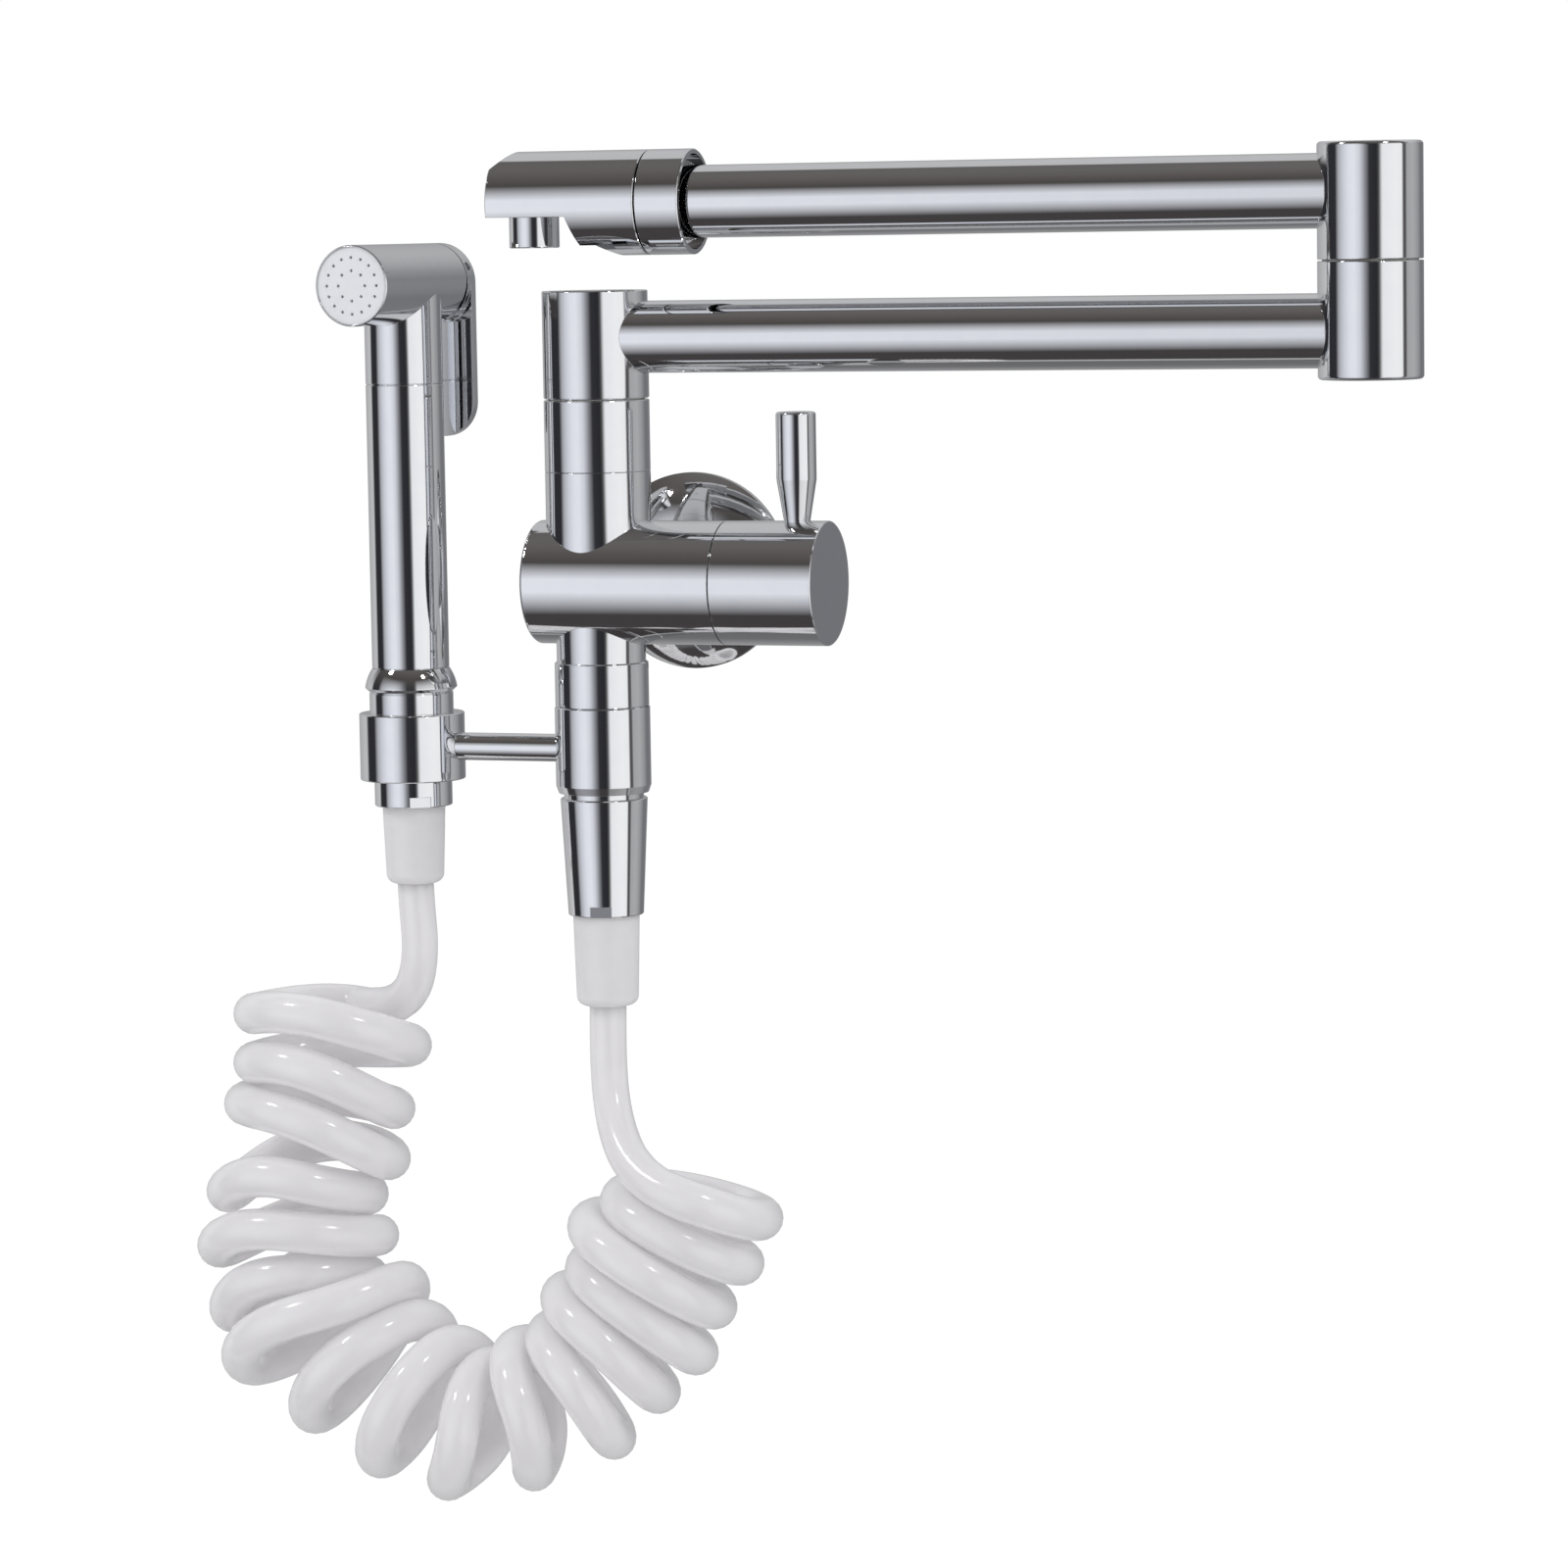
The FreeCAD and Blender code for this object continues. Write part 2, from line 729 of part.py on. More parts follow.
def spigot_outline(low_r, low_long, top, shoulder_r=None, shoulder=None):
    """A hollow spigot with two seal grooves and a keeper groove above its shoulder."""
    bore = dim.spigot_bore_r
    half = dim.oring_r + dim.fit
    floor = dim.spigot_r - half - half
    base = low_long + (shoulder if shoulder is not None else 0)
    outline = [(bore, 0), (low_r, 0), (low_r, low_long)]
    if shoulder_r is not None:
        edge = dim.chamfer
        outline += [
            (shoulder_r - edge, low_long),
            (shoulder_r, low_long + edge),
            (shoulder_r, base - edge),
            (shoulder_r - edge, base),
            (dim.spigot_r, base),
        ]
    first, second, keeper = groove_depths(top)
    for height in (first, second):
        outline += [
            (dim.spigot_r, base + height - half),
            (floor, base + height - half),
            (floor, base + height + half),
            (dim.spigot_r, base + height + half),
        ]
    slot = dim.keeper_wide / 2
    outline += [
        (dim.spigot_r, base + keeper - slot),
        (dim.spigot_r - dim.keeper_deep, base + keeper - slot),
        (dim.spigot_r - dim.keeper_deep, base + keeper + slot),
        (dim.spigot_r, base + keeper + slot),
        (dim.spigot_r, base + top),
        (bore, base + top),
    ]
    return outline


def spigot_seals(base, place):
    """Two rubber rings in the grooves of a spigot whose shoulder is at the height base."""
    middle = dim.spigot_r - dim.oring_r
    first, second, _ = groove_depths(dim.spigot_long)
    return group(*[ring_seal(middle, dim.oring_r, **place(base + height)) for height in (first, second)])


def grub_screw(reach, wall_r, place):
    """A small screw from the back, whose tip stands in the keeper groove."""
    tip = dim.spigot_r - dim.keeper_deep / 2
    screw = rod(dim.grub_r, wall_r - tip - dim.chamfer, axis="in", **place(reach))
    bind(screw, "Placement.Base.y", body_y + tip)
    return screw


def grub_hole(reach, wall_r, place):
    return rod(dim.grub_r + dim.fit, wall_r + dim.tube_r, axis="in", **place(reach))


def riser():
    """The fixed adapter on the body, and the swivel that carries the lower arm."""
    low = dim.riser_seam_low - dim.socket_deep
    shoulder = dim.riser_seam_high - dim.riser_seam_low
    outline = spigot_outline(dim.socket_r, dim.socket_deep, dim.spigot_long, dim.riser_r, shoulder)
    piece("riser_adapter", turned(outline, **on_riser(low)))
    piece("riser_seals", spigot_seals(dim.riser_seam_high, on_riser))
    thrust = pipe(
        dim.riser_r - dim.thrust_inset,
        dim.spigot_r + dim.fit,
        dim.thrust_thick,
        **on_riser(dim.riser_seam_high),
    )
    piece("riser_thrust_washer", thrust)

    start = dim.riser_seam_high + dim.seam
    top = dim.arm_height + dim.tube_r + dim.cap_over_tube
    socket_top = dim.riser_seam_high + dim.spigot_long + dim.seam
    shell = [
        (0, 0),
        (dim.riser_r - dim.chamfer, 0),
        (dim.riser_r, dim.chamfer),
        (dim.riser_r, top - start - dim.chamfer),
        (dim.riser_r - dim.chamfer, top - start),
        (0, top - start),
    ]
    keeper = dim.riser_seam_high + groove_depths(dim.spigot_long)[2]
    arm_start = riser_x + dim.spigot_r + dim.tube_seat
    reach = dim.riser_r + dim.tube_r
    swivel = cut(
        turned(shell, **on_riser(start)),
        rod(dim.spigot_r + dim.fit, socket_top - start, **on_riser(start)),
        rod(dim.spigot_r - dim.tube_wall, top - dim.end_wall - start, **on_riser(start)),
        rod(dim.riser_r - dim.thrust_inset + dim.fit, dim.thrust_thick - dim.seam, **on_riser(start)),
        rod(dim.tube_r + dim.fit, reach, x=arm_start, y=body_y, z=dim.arm_height, axis="right"),
        rod(dim.tube_r - dim.tube_wall, reach, x=riser_x, y=body_y, z=dim.arm_height, axis="right"),
        grub_hole(keeper, dim.riser_r, on_riser),
    )
    piece("riser_swivel", swivel)
    piece("riser_grub_screw", grub_screw(keeper, dim.riser_r, on_riser))


def arm_tube(height, start, end):
    """One spout tube, lying along the wall."""
    inner = dim.tube_r - dim.tube_wall
    return pipe(dim.tube_r, inner, end - start, x=start, y=body_y, z=height, axis="right")


def elbow_half(low, high, tube_height, closed_low, recess):
    """One cylinder of the elbow, with its side hole for a tube and its socket for the joint spigot."""
    tube_end = elbow_x - dim.spigot_r - dim.tube_seat
    reach = dim.elbow_r + dim.tube_r
    rounded = dim.rim_round
    edge = dim.chamfer
    low_edge, high_edge = (rounded, edge) if closed_low else (edge, rounded)
    shell = [
        (0, 0),
        (dim.elbow_r - low_edge, 0),
        (dim.elbow_r, low_edge, low_edge, 1),
        (dim.elbow_r, high - low - high_edge),
        (dim.elbow_r - high_edge, high - low, high_edge, 1),
        (0, high - low),
    ]
    chamber_low = low + dim.end_wall if closed_low else low
    chamber_high = high if closed_low else high - dim.end_wall
    socket = dim.elbow_spigot_low if closed_low else dim.spigot_long + dim.seam
    socket_low = high - socket if closed_low else low
    tools = [
        rod(dim.elbow_chamber_r, chamber_high - chamber_low, **on_elbow(chamber_low)),
        rod(dim.spigot_r + dim.fit, socket, **on_elbow(socket_low)),
        rod(dim.tube_r + dim.fit, reach, x=tube_end, y=body_y, z=tube_height, axis="left"),
        rod(dim.tube_r - dim.tube_wall, reach, x=elbow_x, y=body_y, z=tube_height, axis="left"),
    ]
    if recess:
        tools.append(rod(dim.elbow_r - dim.thrust_inset + dim.fit, recess, **on_elbow(low)))
        keeper = low - dim.seam + groove_depths(dim.spigot_long)[2]
        tools.append(grub_hole(keeper, dim.elbow_r, on_elbow))
    return cut(turned(shell, **on_elbow(low)), *tools)


def arms():
    """Lower tube, two elbow halves on one spigot, and the upper tube folded back over the lower one."""
    middle = dim.arm_height + dim.arm_rise / 2
    half_high = dim.arm_rise / 2 + dim.tube_r + dim.cap_over_tube
    tube_end = elbow_x - dim.spigot_r - dim.tube_seat
    lower_start = riser_x + dim.spigot_r + dim.tube_seat
    upper_start = riser_x + dim.collar_right - dim.collar_recess - dim.collar_step + dim.tube_seat
    piece("lower_arm_tube", arm_tube(dim.arm_height, lower_start, tube_end))
    piece("upper_arm_tube", arm_tube(upper_height, upper_start, tube_end))
    piece("elbow_lower", elbow_half(middle - half_high, middle, dim.arm_height, True, None))
    recess = dim.thrust_thick - dim.seam
    upper = elbow_half(middle + dim.seam, middle + half_high, upper_height, False, recess)
    piece("elbow_upper", upper)
    outline = spigot_outline(dim.spigot_r, dim.elbow_spigot_low, dim.spigot_long)
    piece("elbow_spigot", turned(outline, **on_elbow(middle - dim.elbow_spigot_low)))
    piece("elbow_seals", spigot_seals(middle, on_elbow))
    thrust = pipe(
        dim.elbow_r - dim.thrust_inset,
        dim.spigot_r + dim.fit,
        dim.thrust_thick,
        **on_elbow(middle),
    )
    piece("elbow_thrust_washer", thrust)
    keeper = middle + groove_depths(dim.spigot_long)[2]
    piece("elbow_grub_screw", grub_screw(keeper, dim.elbow_r, on_elbow))


def along_spout(reach, axis="right"):
    """On the axis of the upper tube, at some reach from the riser."""
    return dict(x=riser_x + reach, y=body_y, z=upper_height, axis=axis)


def spout_collar():
    """The collar at the end of the upper tube and the short spigot on which the head turns."""
    seam_end = dim.head_seam
    recess_start = dim.collar_right - dim.collar_recess
    step = recess_start - dim.collar_step
    collar = [
        (dim.spigot_r + dim.fit, 0),
        (dim.head_r - dim.chamfer, 0),
        (dim.head_r, dim.chamfer),
        (dim.head_r, dim.collar_right - seam_end - dim.chamfer),
        (dim.head_r - dim.chamfer, dim.collar_right - seam_end),
        (dim.collar_recess_r, dim.collar_right - seam_end),
        (dim.collar_recess_r, recess_start - seam_end),
        (dim.tube_r + dim.fit, recess_start - seam_end),
        (dim.tube_r + dim.fit, step - seam_end),
        (dim.spigot_r + dim.fit, step - seam_end),
    ]
    piece("spout_collar", turned(collar, **along_spout(seam_end)))
    spigot_end = seam_end - dim.head_spigot_long
    half = dim.oring_r + dim.fit
    floor = dim.spigot_r - half - half
    groove = dim.head_spigot_long / 2
    spigot = [
        (dim.spigot_bore_r, 0),
        (dim.spigot_r, 0),
        (dim.spigot_r, groove - half),
        (floor, groove - half),
        (floor, groove + half),
        (dim.spigot_r, groove + half),
        (dim.spigot_r, step - spigot_end),
        (dim.spigot_bore_r, step - spigot_end),
    ]
    piece("spout_spigot", turned(spigot, **along_spout(spigot_end)))
    seal = ring_seal(dim.spigot_r - dim.oring_r, dim.oring_r, **along_spout(spigot_end + groove))
    piece("spout_seal", seal)


def spout_head():
    """The head: a cylinder bevelled at its far end and cut flat under it, where the aerator hangs."""
    end = dim.head_seam - dim.seam
    solid = turned(
        [
            (0, 0),
            (dim.head_r - dim.chamfer, 0),
            (dim.head_r, dim.chamfer),
            (dim.head_r, end + dim.head_left - dim.chamfer),
            (dim.head_r - dim.chamfer, end + dim.head_left),
            (0, end + dim.head_left),
        ],
        **along_spout(-dim.head_left),
    )
    socket_end = dim.head_seam - dim.head_spigot_long - dim.seam
    water_end = -dim.aerator_place - dim.head_water_r
    spare = dim.rim_round
    under = [
        (-spare, -dim.head_flat),
        (dim.head_left - dim.head_cut_end, -dim.head_flat),
        (dim.head_left - dim.head_cut_end + dim.head_cut_run, -dim.head_shelf),
        (dim.head_left + dim.head_shelf_end, -dim.head_shelf),
        (dim.head_left + dim.head_cut_out, -dim.head_r - spare),
        (-spare, -dim.head_r - spare),
    ]
    bevel = [
        (-spare, dim.head_r - dim.head_bevel - spare),
        (dim.head_bevel + spare, dim.head_r + spare),
        (-spare, dim.head_r + spare),
    ]
    corner = dict(x=riser_x - dim.head_left, y=body_y, z=upper_height)
    neck = dim.aerator_neck_r + dim.fit
    neck_high = dim.aerator_neck + dim.washer_thick
    aerator_x = riser_x - dim.aerator_place
    water = rod(dim.head_water_r, socket_end - water_end, **along_spout(water_end))
    bind(water, "Placement.Base.z", upper_height + dim.head_water_up)
    head = cut(
        solid,
        wedge(under, dim.head_r + spare, **corner),
        wedge(bevel, dim.head_r + spare, **corner),
        rod(dim.spigot_r + dim.fit, end - socket_end, **along_spout(socket_end)),
        water,
        rod(neck, neck_high, x=aerator_x, y=body_y, z=upper_height - dim.head_flat),
    )
    piece("spout_head", head)


def aerator():
    """Housing, mesh insert and washer, hanging under the head."""
    place = dict(x=riser_x - dim.aerator_place, y=body_y)
    low = upper_height - dim.aerator_low
    long = dim.aerator_low - dim.head_flat
    lip = dim.aerator_bore_r - dim.mesh_inset
    housing = [
        (lip, 0),
        (dim.aerator_r - dim.chamfer, 0),
        (dim.aerator_r, dim.chamfer),
        (dim.aerator_r, long),
        (dim.aerator_neck_r, long),
        (dim.aerator_neck_r, long + dim.aerator_neck),
        (dim.aerator_bore_r - dim.mesh_inset, long + dim.aerator_neck),
        (dim.aerator_bore_r - dim.mesh_inset, dim.mesh_inset + dim.mesh_thick + dim.mesh_inset),
        (dim.aerator_bore_r, dim.mesh_inset + dim.mesh_thick),
        (dim.aerator_bore_r, dim.mesh_inset),
        (lip, dim.mesh_inset),
    ]
    piece("aerator_housing", turned(housing, z=low, **place))
    disc = rod(dim.aerator_bore_r - dim.fit, dim.mesh_thick)
    holes = holes_round(dim.mesh_hole_r, dim.mesh_thick, dim.mesh_ring_r, dim.mesh_holes)
    insert = cut(disc, holes, rod(dim.mesh_hole_r, dim.mesh_thick))
    piece("aerator_insert", put(insert, z=low + dim.mesh_inset, **place))
    washer_low = upper_height - dim.head_flat + dim.aerator_neck
    inner = dim.aerator_bore_r - dim.washer_wall
    washer = pipe(dim.aerator_neck_r, inner, dim.washer_thick, z=washer_low, **place)
    piece("aerator_washer", washer)


def holes_round(radius, length, reach, count):
    """Upright cutters at even steps on a circle round the Z axis."""
    cutters = []
    for number in range(int(plain(count))):
        angle = number * 360 / count
        cutters.append(rod(radius, length, x=reach * cosine(angle), y=reach * sine(angle)))
    return group(*cutters)


def lower_outlet():
    """Threaded union, ring, holder sleeve, tapered hose nut and the washer under the union."""
    bore = dim.union_r + dim.fit
    union_long = dim.union_low - dim.union_high
    piece("outlet_union", pipe(dim.union_r, dim.union_bore_r, union_long, **on_riser(-dim.union_low)))
    ring_long = dim.ring_low - dim.neck_low
    edge = dim.chamfer
    piece("outlet_ring", edged_pipe(dim.ring_r, bore, ring_long, edge, edge, **on_riser(-dim.ring_low)))
    sleeve_long = dim.sleeve_low - dim.ring_low
    sleeve = [
        (bore, 0),
        (dim.sleeve_r - dim.sleeve_bevel, 0),
        (dim.sleeve_r, dim.sleeve_bevel_high),
        (dim.sleeve_r, sleeve_long - edge),
        (dim.sleeve_r - edge, sleeve_long),
        (bore, sleeve_long),
    ]
    seat = rod(dim.rod_r + dim.fit, dim.rod_seat + dim.rod_r, axis="left", **on_riser(-dim.rod_height))
    bind(seat, "Placement.Base.x", riser_x - dim.sleeve_r + dim.rod_seat)
    piece("holder_sleeve", cut(turned(sleeve, **on_riser(-dim.sleeve_low)), seat))

    top = dim.nut_low - dim.sleeve_low
    thread_low = dim.nut_low - dim.union_low - dim.washer_thick
    hole = dim.connector_top_r + dim.fit
    wide = dim.connector_flange_r + dim.fit
    flange_low = thread_low - dim.connector_flange
    nut = [
        (hole, 0),
        (dim.nut_foot_r - dim.chamfer, 0),
        (dim.nut_foot_r, dim.chamfer),
        (dim.nut_top_r, dim.nut_low - dim.nut_neck_low - dim.chamfer),
        (dim.nut_top_r - dim.chamfer, dim.nut_low - dim.nut_neck_low),
        (dim.nut_neck_r, dim.nut_low - dim.nut_neck_low),
        (dim.nut_neck_r, top),
        (bore, top),
        (bore, thread_low + dim.washer_thick),
        (wide, thread_low + dim.washer_thick),
        (wide, flange_low),
        (hole, flange_low),
    ]
    solid = turned(nut, **on_riser(-dim.nut_low))
    piece("hose_nut", cut(solid, *notches(dim.nut_foot_r, riser_x, -dim.nut_low, dim.notch_turn)))
    washer_low = -dim.union_low - dim.washer_thick
    washer = pipe(dim.connector_flange_r, dim.union_bore_r, dim.washer_thick, **on_riser(washer_low))
    piece("tap_hose_washer", washer)


def notches(radius, x, z, turn):
    """A pair of wrench notches at the foot of a nut, in front and behind, turned from straight out."""
    pair = []
    for side in (0, 180):
        notch = block(dim.notch_wide, dim.notch_deep + dim.rim_round, dim.notch_high)
        angle = -plain(turn) + side
        corner = FreeCAD.Placement(
            V(-plain(dim.notch_wide) / 2, -plain(radius + dim.rim_round), -plain(dim.chamfer)),
            FreeCAD.Rotation(),
        )
        spin = FreeCAD.Placement(V(plain(x), plain(body_y), plain(z)), FreeCAD.Rotation(V(0, 0, 1), -angle))
        notch.Placement = spin.multiply(corner)
        pair.append(notch)
    return pair


def connector(low, top, flange_top, flange_r, top_r, foot_r):
    """A moulded hose end: a flange held by the nut, a slim body and a rounded foot where the hose leaves."""
    foot = dim.connector_round
    outline = [
        (dim.connector_bore_r, 0),
        (foot_r - foot, 0),
        (foot_r, foot, foot, 1),
        (top_r, low - top),
        (top_r, low - flange_top - dim.connector_flange),
        (flange_r, low - flange_top - dim.connector_flange),
        (flange_r, low - flange_top),
        (dim.connector_bore_r, low - flange_top),
    ]
    return outline


def hose_ends():
    """The two white hose connectors."""
    flange_top = dim.union_low + dim.washer_thick
    outline = connector(
        dim.connector_low,
        dim.nut_low,
        flange_top,
        dim.connector_flange_r,
        dim.connector_top_r,
        dim.connector_foot_r,
    )
    piece("hose_connector_tap", turned(outline, **on_riser(-dim.connector_low)))
    outline = connector(
        dim.spray_connector_low,
        dim.spray_nut_low,
        spray_flange_top,
        dim.ferrule_thread_r,
        dim.spray_connector_top_r,
        dim.spray_connector_foot_r,
    )
    piece("hose_connector_spray", turned(outline, **on_spray(-dim.spray_connector_low)))


clip_top = dim.rod_height - dim.clip_high / 2
spray_flange_top = clip_top + dim.ferrule_thread + dim.washer_thick


def on_spray(z, **more):
    return dict(x=spray_x, y=body_y, z=z, **more)


def holder():
    """The rod and the ring that holds the hand spray."""
    rod_start = riser_x - dim.sleeve_r + dim.rod_seat
    rod_end = spray_x + dim.clip_r - dim.rod_seat
    middle = dict(x=rod_end, y=body_y, z=-dim.rod_height, axis="right")
    piece("holder_rod", rod(dim.rod_r, rod_start - rod_end, **middle))
    low = on_spray(-dim.rod_height - dim.clip_high / 2)
    ring = edged_pipe(dim.clip_r, dim.clip_bore_r, dim.clip_high, dim.chamfer, dim.chamfer, **low)
    piece("holder_clip", cut(ring, rod(dim.rod_r + dim.fit, dim.clip_r - dim.clip_bore_r, **middle)))


def spray_handle():
    """Handle tube, flared ferrule that rests on the clip, nut and washer."""
    inner = dim.handle_r - dim.handle_wall
    tube_long = dim.handle_low + dim.handle_seam
    edge = dim.chamfer
    tube = edged_pipe(dim.handle_r, inner, tube_long, edge, edge, **on_spray(-dim.handle_low))
    piece("handle_tube", tube)

    foot = clip_top + dim.ferrule_thread
    flare_top = foot - dim.handle_low
    flare_mid = flare_top - dim.flare_high
    flare_foot = flare_mid - dim.flare_under
    plug = inner - dim.fit
    ferrule = [
        (dim.ferrule_bore_r, 0),
        (dim.ferrule_thread_r, 0),
        (dim.ferrule_thread_r, dim.ferrule_thread),
        (dim.ferrule_r, dim.ferrule_thread),
        (dim.ferrule_r, flare_foot - dim.chamfer),
        (dim.ferrule_r - dim.chamfer, flare_foot),
        (dim.flare_r, flare_mid),
        (dim.flare_r, flare_mid + dim.chamfer),
        (dim.handle_r, flare_top, dim.flare_r, 1),
        (plug, flare_top),
        (plug, flare_top + dim.ferrule_plug),
        (dim.ferrule_bore_r, flare_top + dim.ferrule_plug),
    ]
    piece("handle_ferrule", turned(ferrule, **on_spray(-foot)))

    hole = dim.spray_connector_top_r + dim.fit
    wide = dim.ferrule_thread_r + dim.fit
    shelf = dim.spray_nut_low - spray_flange_top - dim.connector_flange
    nut = [
        (hole, 0),
        (dim.spray_nut_r - dim.chamfer, 0),
        (dim.spray_nut_r, dim.chamfer),
        (dim.spray_nut_r, dim.spray_nut_low - clip_top),
        (wide, dim.spray_nut_low - clip_top),
        (wide, shelf),
        (hole, shelf),
    ]
    solid = turned(nut, **on_spray(-dim.spray_nut_low))
    cuts = notches(dim.spray_nut_r, spray_x, -dim.spray_nut_low, dim.spray_notch_turn)
    piece("spray_nut", cut(solid, *cuts))
    washer_r = dim.ferrule_thread_r
    washer = pipe(washer_r, dim.ferrule_bore_r, dim.washer_thick, **on_spray(-spray_flange_top))
    piece("spray_hose_washer", washer)


def set_spray(thing):
    """Sets a piece built round the handle's axis, face towards -Y, in its turned place."""
    return put(thing, turn=dim.spray_turn, **on_spray(0))


def forward(reach, height, axis="out"):
    return dict(y=-reach, z=height, axis=axis)


def spray_head():
    """The casting with the spray barrel, its neck, the valve passage and the lug for the trigger."""
    axis = dim.spray_height
    long = dim.spray_front + dim.spray_back
    barrel = turned(
        [
            (0, 0),
            (dim.spray_r, 0),
            (dim.spray_r, long - dim.chamfer),
            (dim.spray_r - dim.chamfer, long),
            (0, long),
        ],
        **forward(-dim.spray_back, axis),
    )
    neck_high = axis - dim.handle_seam
    neck = edged_pipe(dim.handle_r, dim.water_r, neck_high, dim.chamfer, None, z=dim.handle_seam)
    core = rod(dim.handle_r - dim.handle_wall - dim.fit, axis - dim.handle_seam + dim.spray_skirt)
    put(core, z=dim.handle_seam - dim.spray_skirt)
    pivot_z = axis + dim.pivot_up
    lug = block(
        dim.lug_half * 2,
        dim.lug_reach + dim.spray_skirt,
        dim.lug_half * 2,
        x=-dim.lug_half,
        y=dim.spray_back - dim.spray_skirt,
        z=pivot_z - dim.lug_half,
    )
    valve_z = axis - dim.valve_drop
    slope = [
        (dim.spray_back + dim.rim_round, pivot_z - dim.lug_half),
        (dim.spray_back, pivot_z - dim.lug_half),
        (dim.spray_back - dim.back_slope, axis - dim.spray_r),
        (dim.spray_back - dim.back_slope, axis - dim.spray_r - dim.rim_round),
        (dim.spray_back + dim.rim_round, axis - dim.spray_r - dim.rim_round),
    ]
    face_floor = dim.spray_front - dim.face_thick - dim.face_inset
    chamber_end = face_floor - dim.spray_chamber
    wall_r = dim.spray_r - dim.handle_wall
    well = dim.handle_r - dim.handle_wall - dim.handle_wall - dim.fit
    head = cut(
        join(barrel, neck, core),
        rod(well, dim.spray_skirt + dim.spray_skirt, z=dim.handle_seam - dim.spray_skirt),
        wedge(slope, dim.spray_r + dim.rim_round, "YZ_Plane"),
        rod(dim.face_r + dim.fit, dim.spray_front, **forward(face_floor, axis)),
        rod(wall_r, dim.spray_chamber, **forward(chamber_end, axis)),
        rod(dim.port_r, chamber_end - dim.valve_front, **forward(dim.valve_front, valve_z)),
        rod(dim.valve_r, dim.valve_front - dim.valve_step, **forward(dim.valve_step, valve_z)),
        rod(dim.port_r, dim.valve_step + dim.bush_start, **forward(-dim.bush_start, valve_z)),
        rod(dim.bush_r + dim.fit, dim.spray_back, **forward(-dim.bush_start - dim.spray_back, valve_z)),
        rod(dim.feed_r, valve_z - dim.handle_seam, y=dim.valve_step, z=dim.handle_seam),
    )
    hole = rod(dim.pivot_r + dim.fit, dim.spray_r, axis="right")
    put(hole, x=-dim.spray_r / 2, y=dim.spray_back + dim.pivot_back, z=pivot_z, axis="right")
    piece("spray_head", set_spray(cut(join(head, lug), hole)))
    bush_end = -dim.bush_start - dim.bush_long
    bush = pipe(dim.bush_r, dim.stem_r + dim.fit, dim.bush_long, **forward(bush_end, valve_z))
    piece("valve_bush", set_spray(group(bush)))


def spray_face():
    """The white plate with its two rings of spray holes."""
    plate = rod(dim.face_r, dim.face_thick)
    outer = holes_round(dim.face_hole_r, dim.face_thick, dim.face_outer_r, dim.face_outer_holes)
    inner = holes_round(dim.face_hole_r, dim.face_thick, dim.face_inner_r, dim.face_inner_holes)
    disc = cut(plate, outer, inner)
    floor = dim.spray_front - dim.face_thick - dim.face_inset
    put(disc, **forward(floor, dim.spray_height))
    piece("spray_face", set_spray(group(disc)))


def trigger():
    """The thumb lever behind the head: a round cap with a long tongue, hung on a pin."""
    axis = dim.spray_height
    front = dim.spray_back + dim.trigger_gap
    back = front + dim.trigger_cap
    cap = rod(dim.spray_r, dim.trigger_cap, **forward(-back, axis))
    tongue = block(
        dim.spray_r * 2,
        dim.tongue_thick,
        axis - dim.tongue_low,
        x=-dim.spray_r,
        y=back - dim.tongue_thick,
        z=dim.tongue_low,
    )
    corner_cuts = []
    for side in (1, -1):
        square = block(
            dim.tongue_round + dim.rim_round,
            dim.trigger_cap,
            dim.tongue_round + dim.rim_round,
            x=(dim.spray_r - dim.tongue_round) if side > 0 else -dim.spray_r - dim.rim_round,
            y=front,
            z=dim.tongue_low - dim.rim_round,
        )
        post = rod(
            dim.tongue_round,
            dim.trigger_cap,
            x=side * (dim.spray_r - dim.tongue_round),
            y=back,
            z=dim.tongue_low + dim.tongue_round,
            axis="out",
        )
        corner_cuts.append(cut(square, post))
    pivot_z = axis + dim.pivot_up
    pivot_y = dim.spray_back + dim.pivot_back
    room = dim.lug_half + dim.slot_room
    slot = block(
        room * 2,
        dim.lug_reach + dim.slot_room,
        room * 2,
        x=-room,
        y=dim.spray_back,
        z=pivot_z - room,
    )
    across = dict(y=pivot_y, z=pivot_z, axis="right")
    hole = rod(dim.pivot_r + dim.fit, dim.spray_r * 2, x=-dim.spray_r, **across)
    lever = cut(join(cap, tongue), *corner_cuts, slot, hole)
    piece("trigger", set_spray(lever))
    pin = rod(dim.pivot_r, dim.pivot_half * 2, x=-dim.pivot_half, **across)
    piece("trigger_pin", set_spray(group(pin)))


def valve():
    """The stem with its disc, the rubber seal behind the disc, and the spring that closes it."""
    height = dim.spray_height - dim.valve_drop
    seal_front = dim.valve_step + dim.stem_seal
    disc_front = seal_front + dim.stem_disc
    tail = dim.spray_back + dim.trigger_gap - dim.stem_clear
    stem = turned(
        [
            (0, 0),
            (dim.stem_r, 0),
            (dim.stem_r, tail + seal_front),
            (dim.stem_disc_r, tail + seal_front),
            (dim.stem_disc_r, tail + disc_front),
            (0, tail + disc_front),
        ],
        **forward(-tail, height),
    )
    piece("valve_stem", set_spray(group(stem)))
    seal = pipe(dim.stem_disc_r, dim.stem_r, dim.stem_seal, **forward(dim.valve_step, height))
    piece("stem_seal", set_spray(group(seal)))
    spring = doc.addObject("Part::Feature", "Spring")
    spring.Shape = coil_spring(disc_front, dim.valve_front, height)
    piece("valve_spring", spring)


# Bent tubes: straight runs and tangent arcs, swept as one solid.


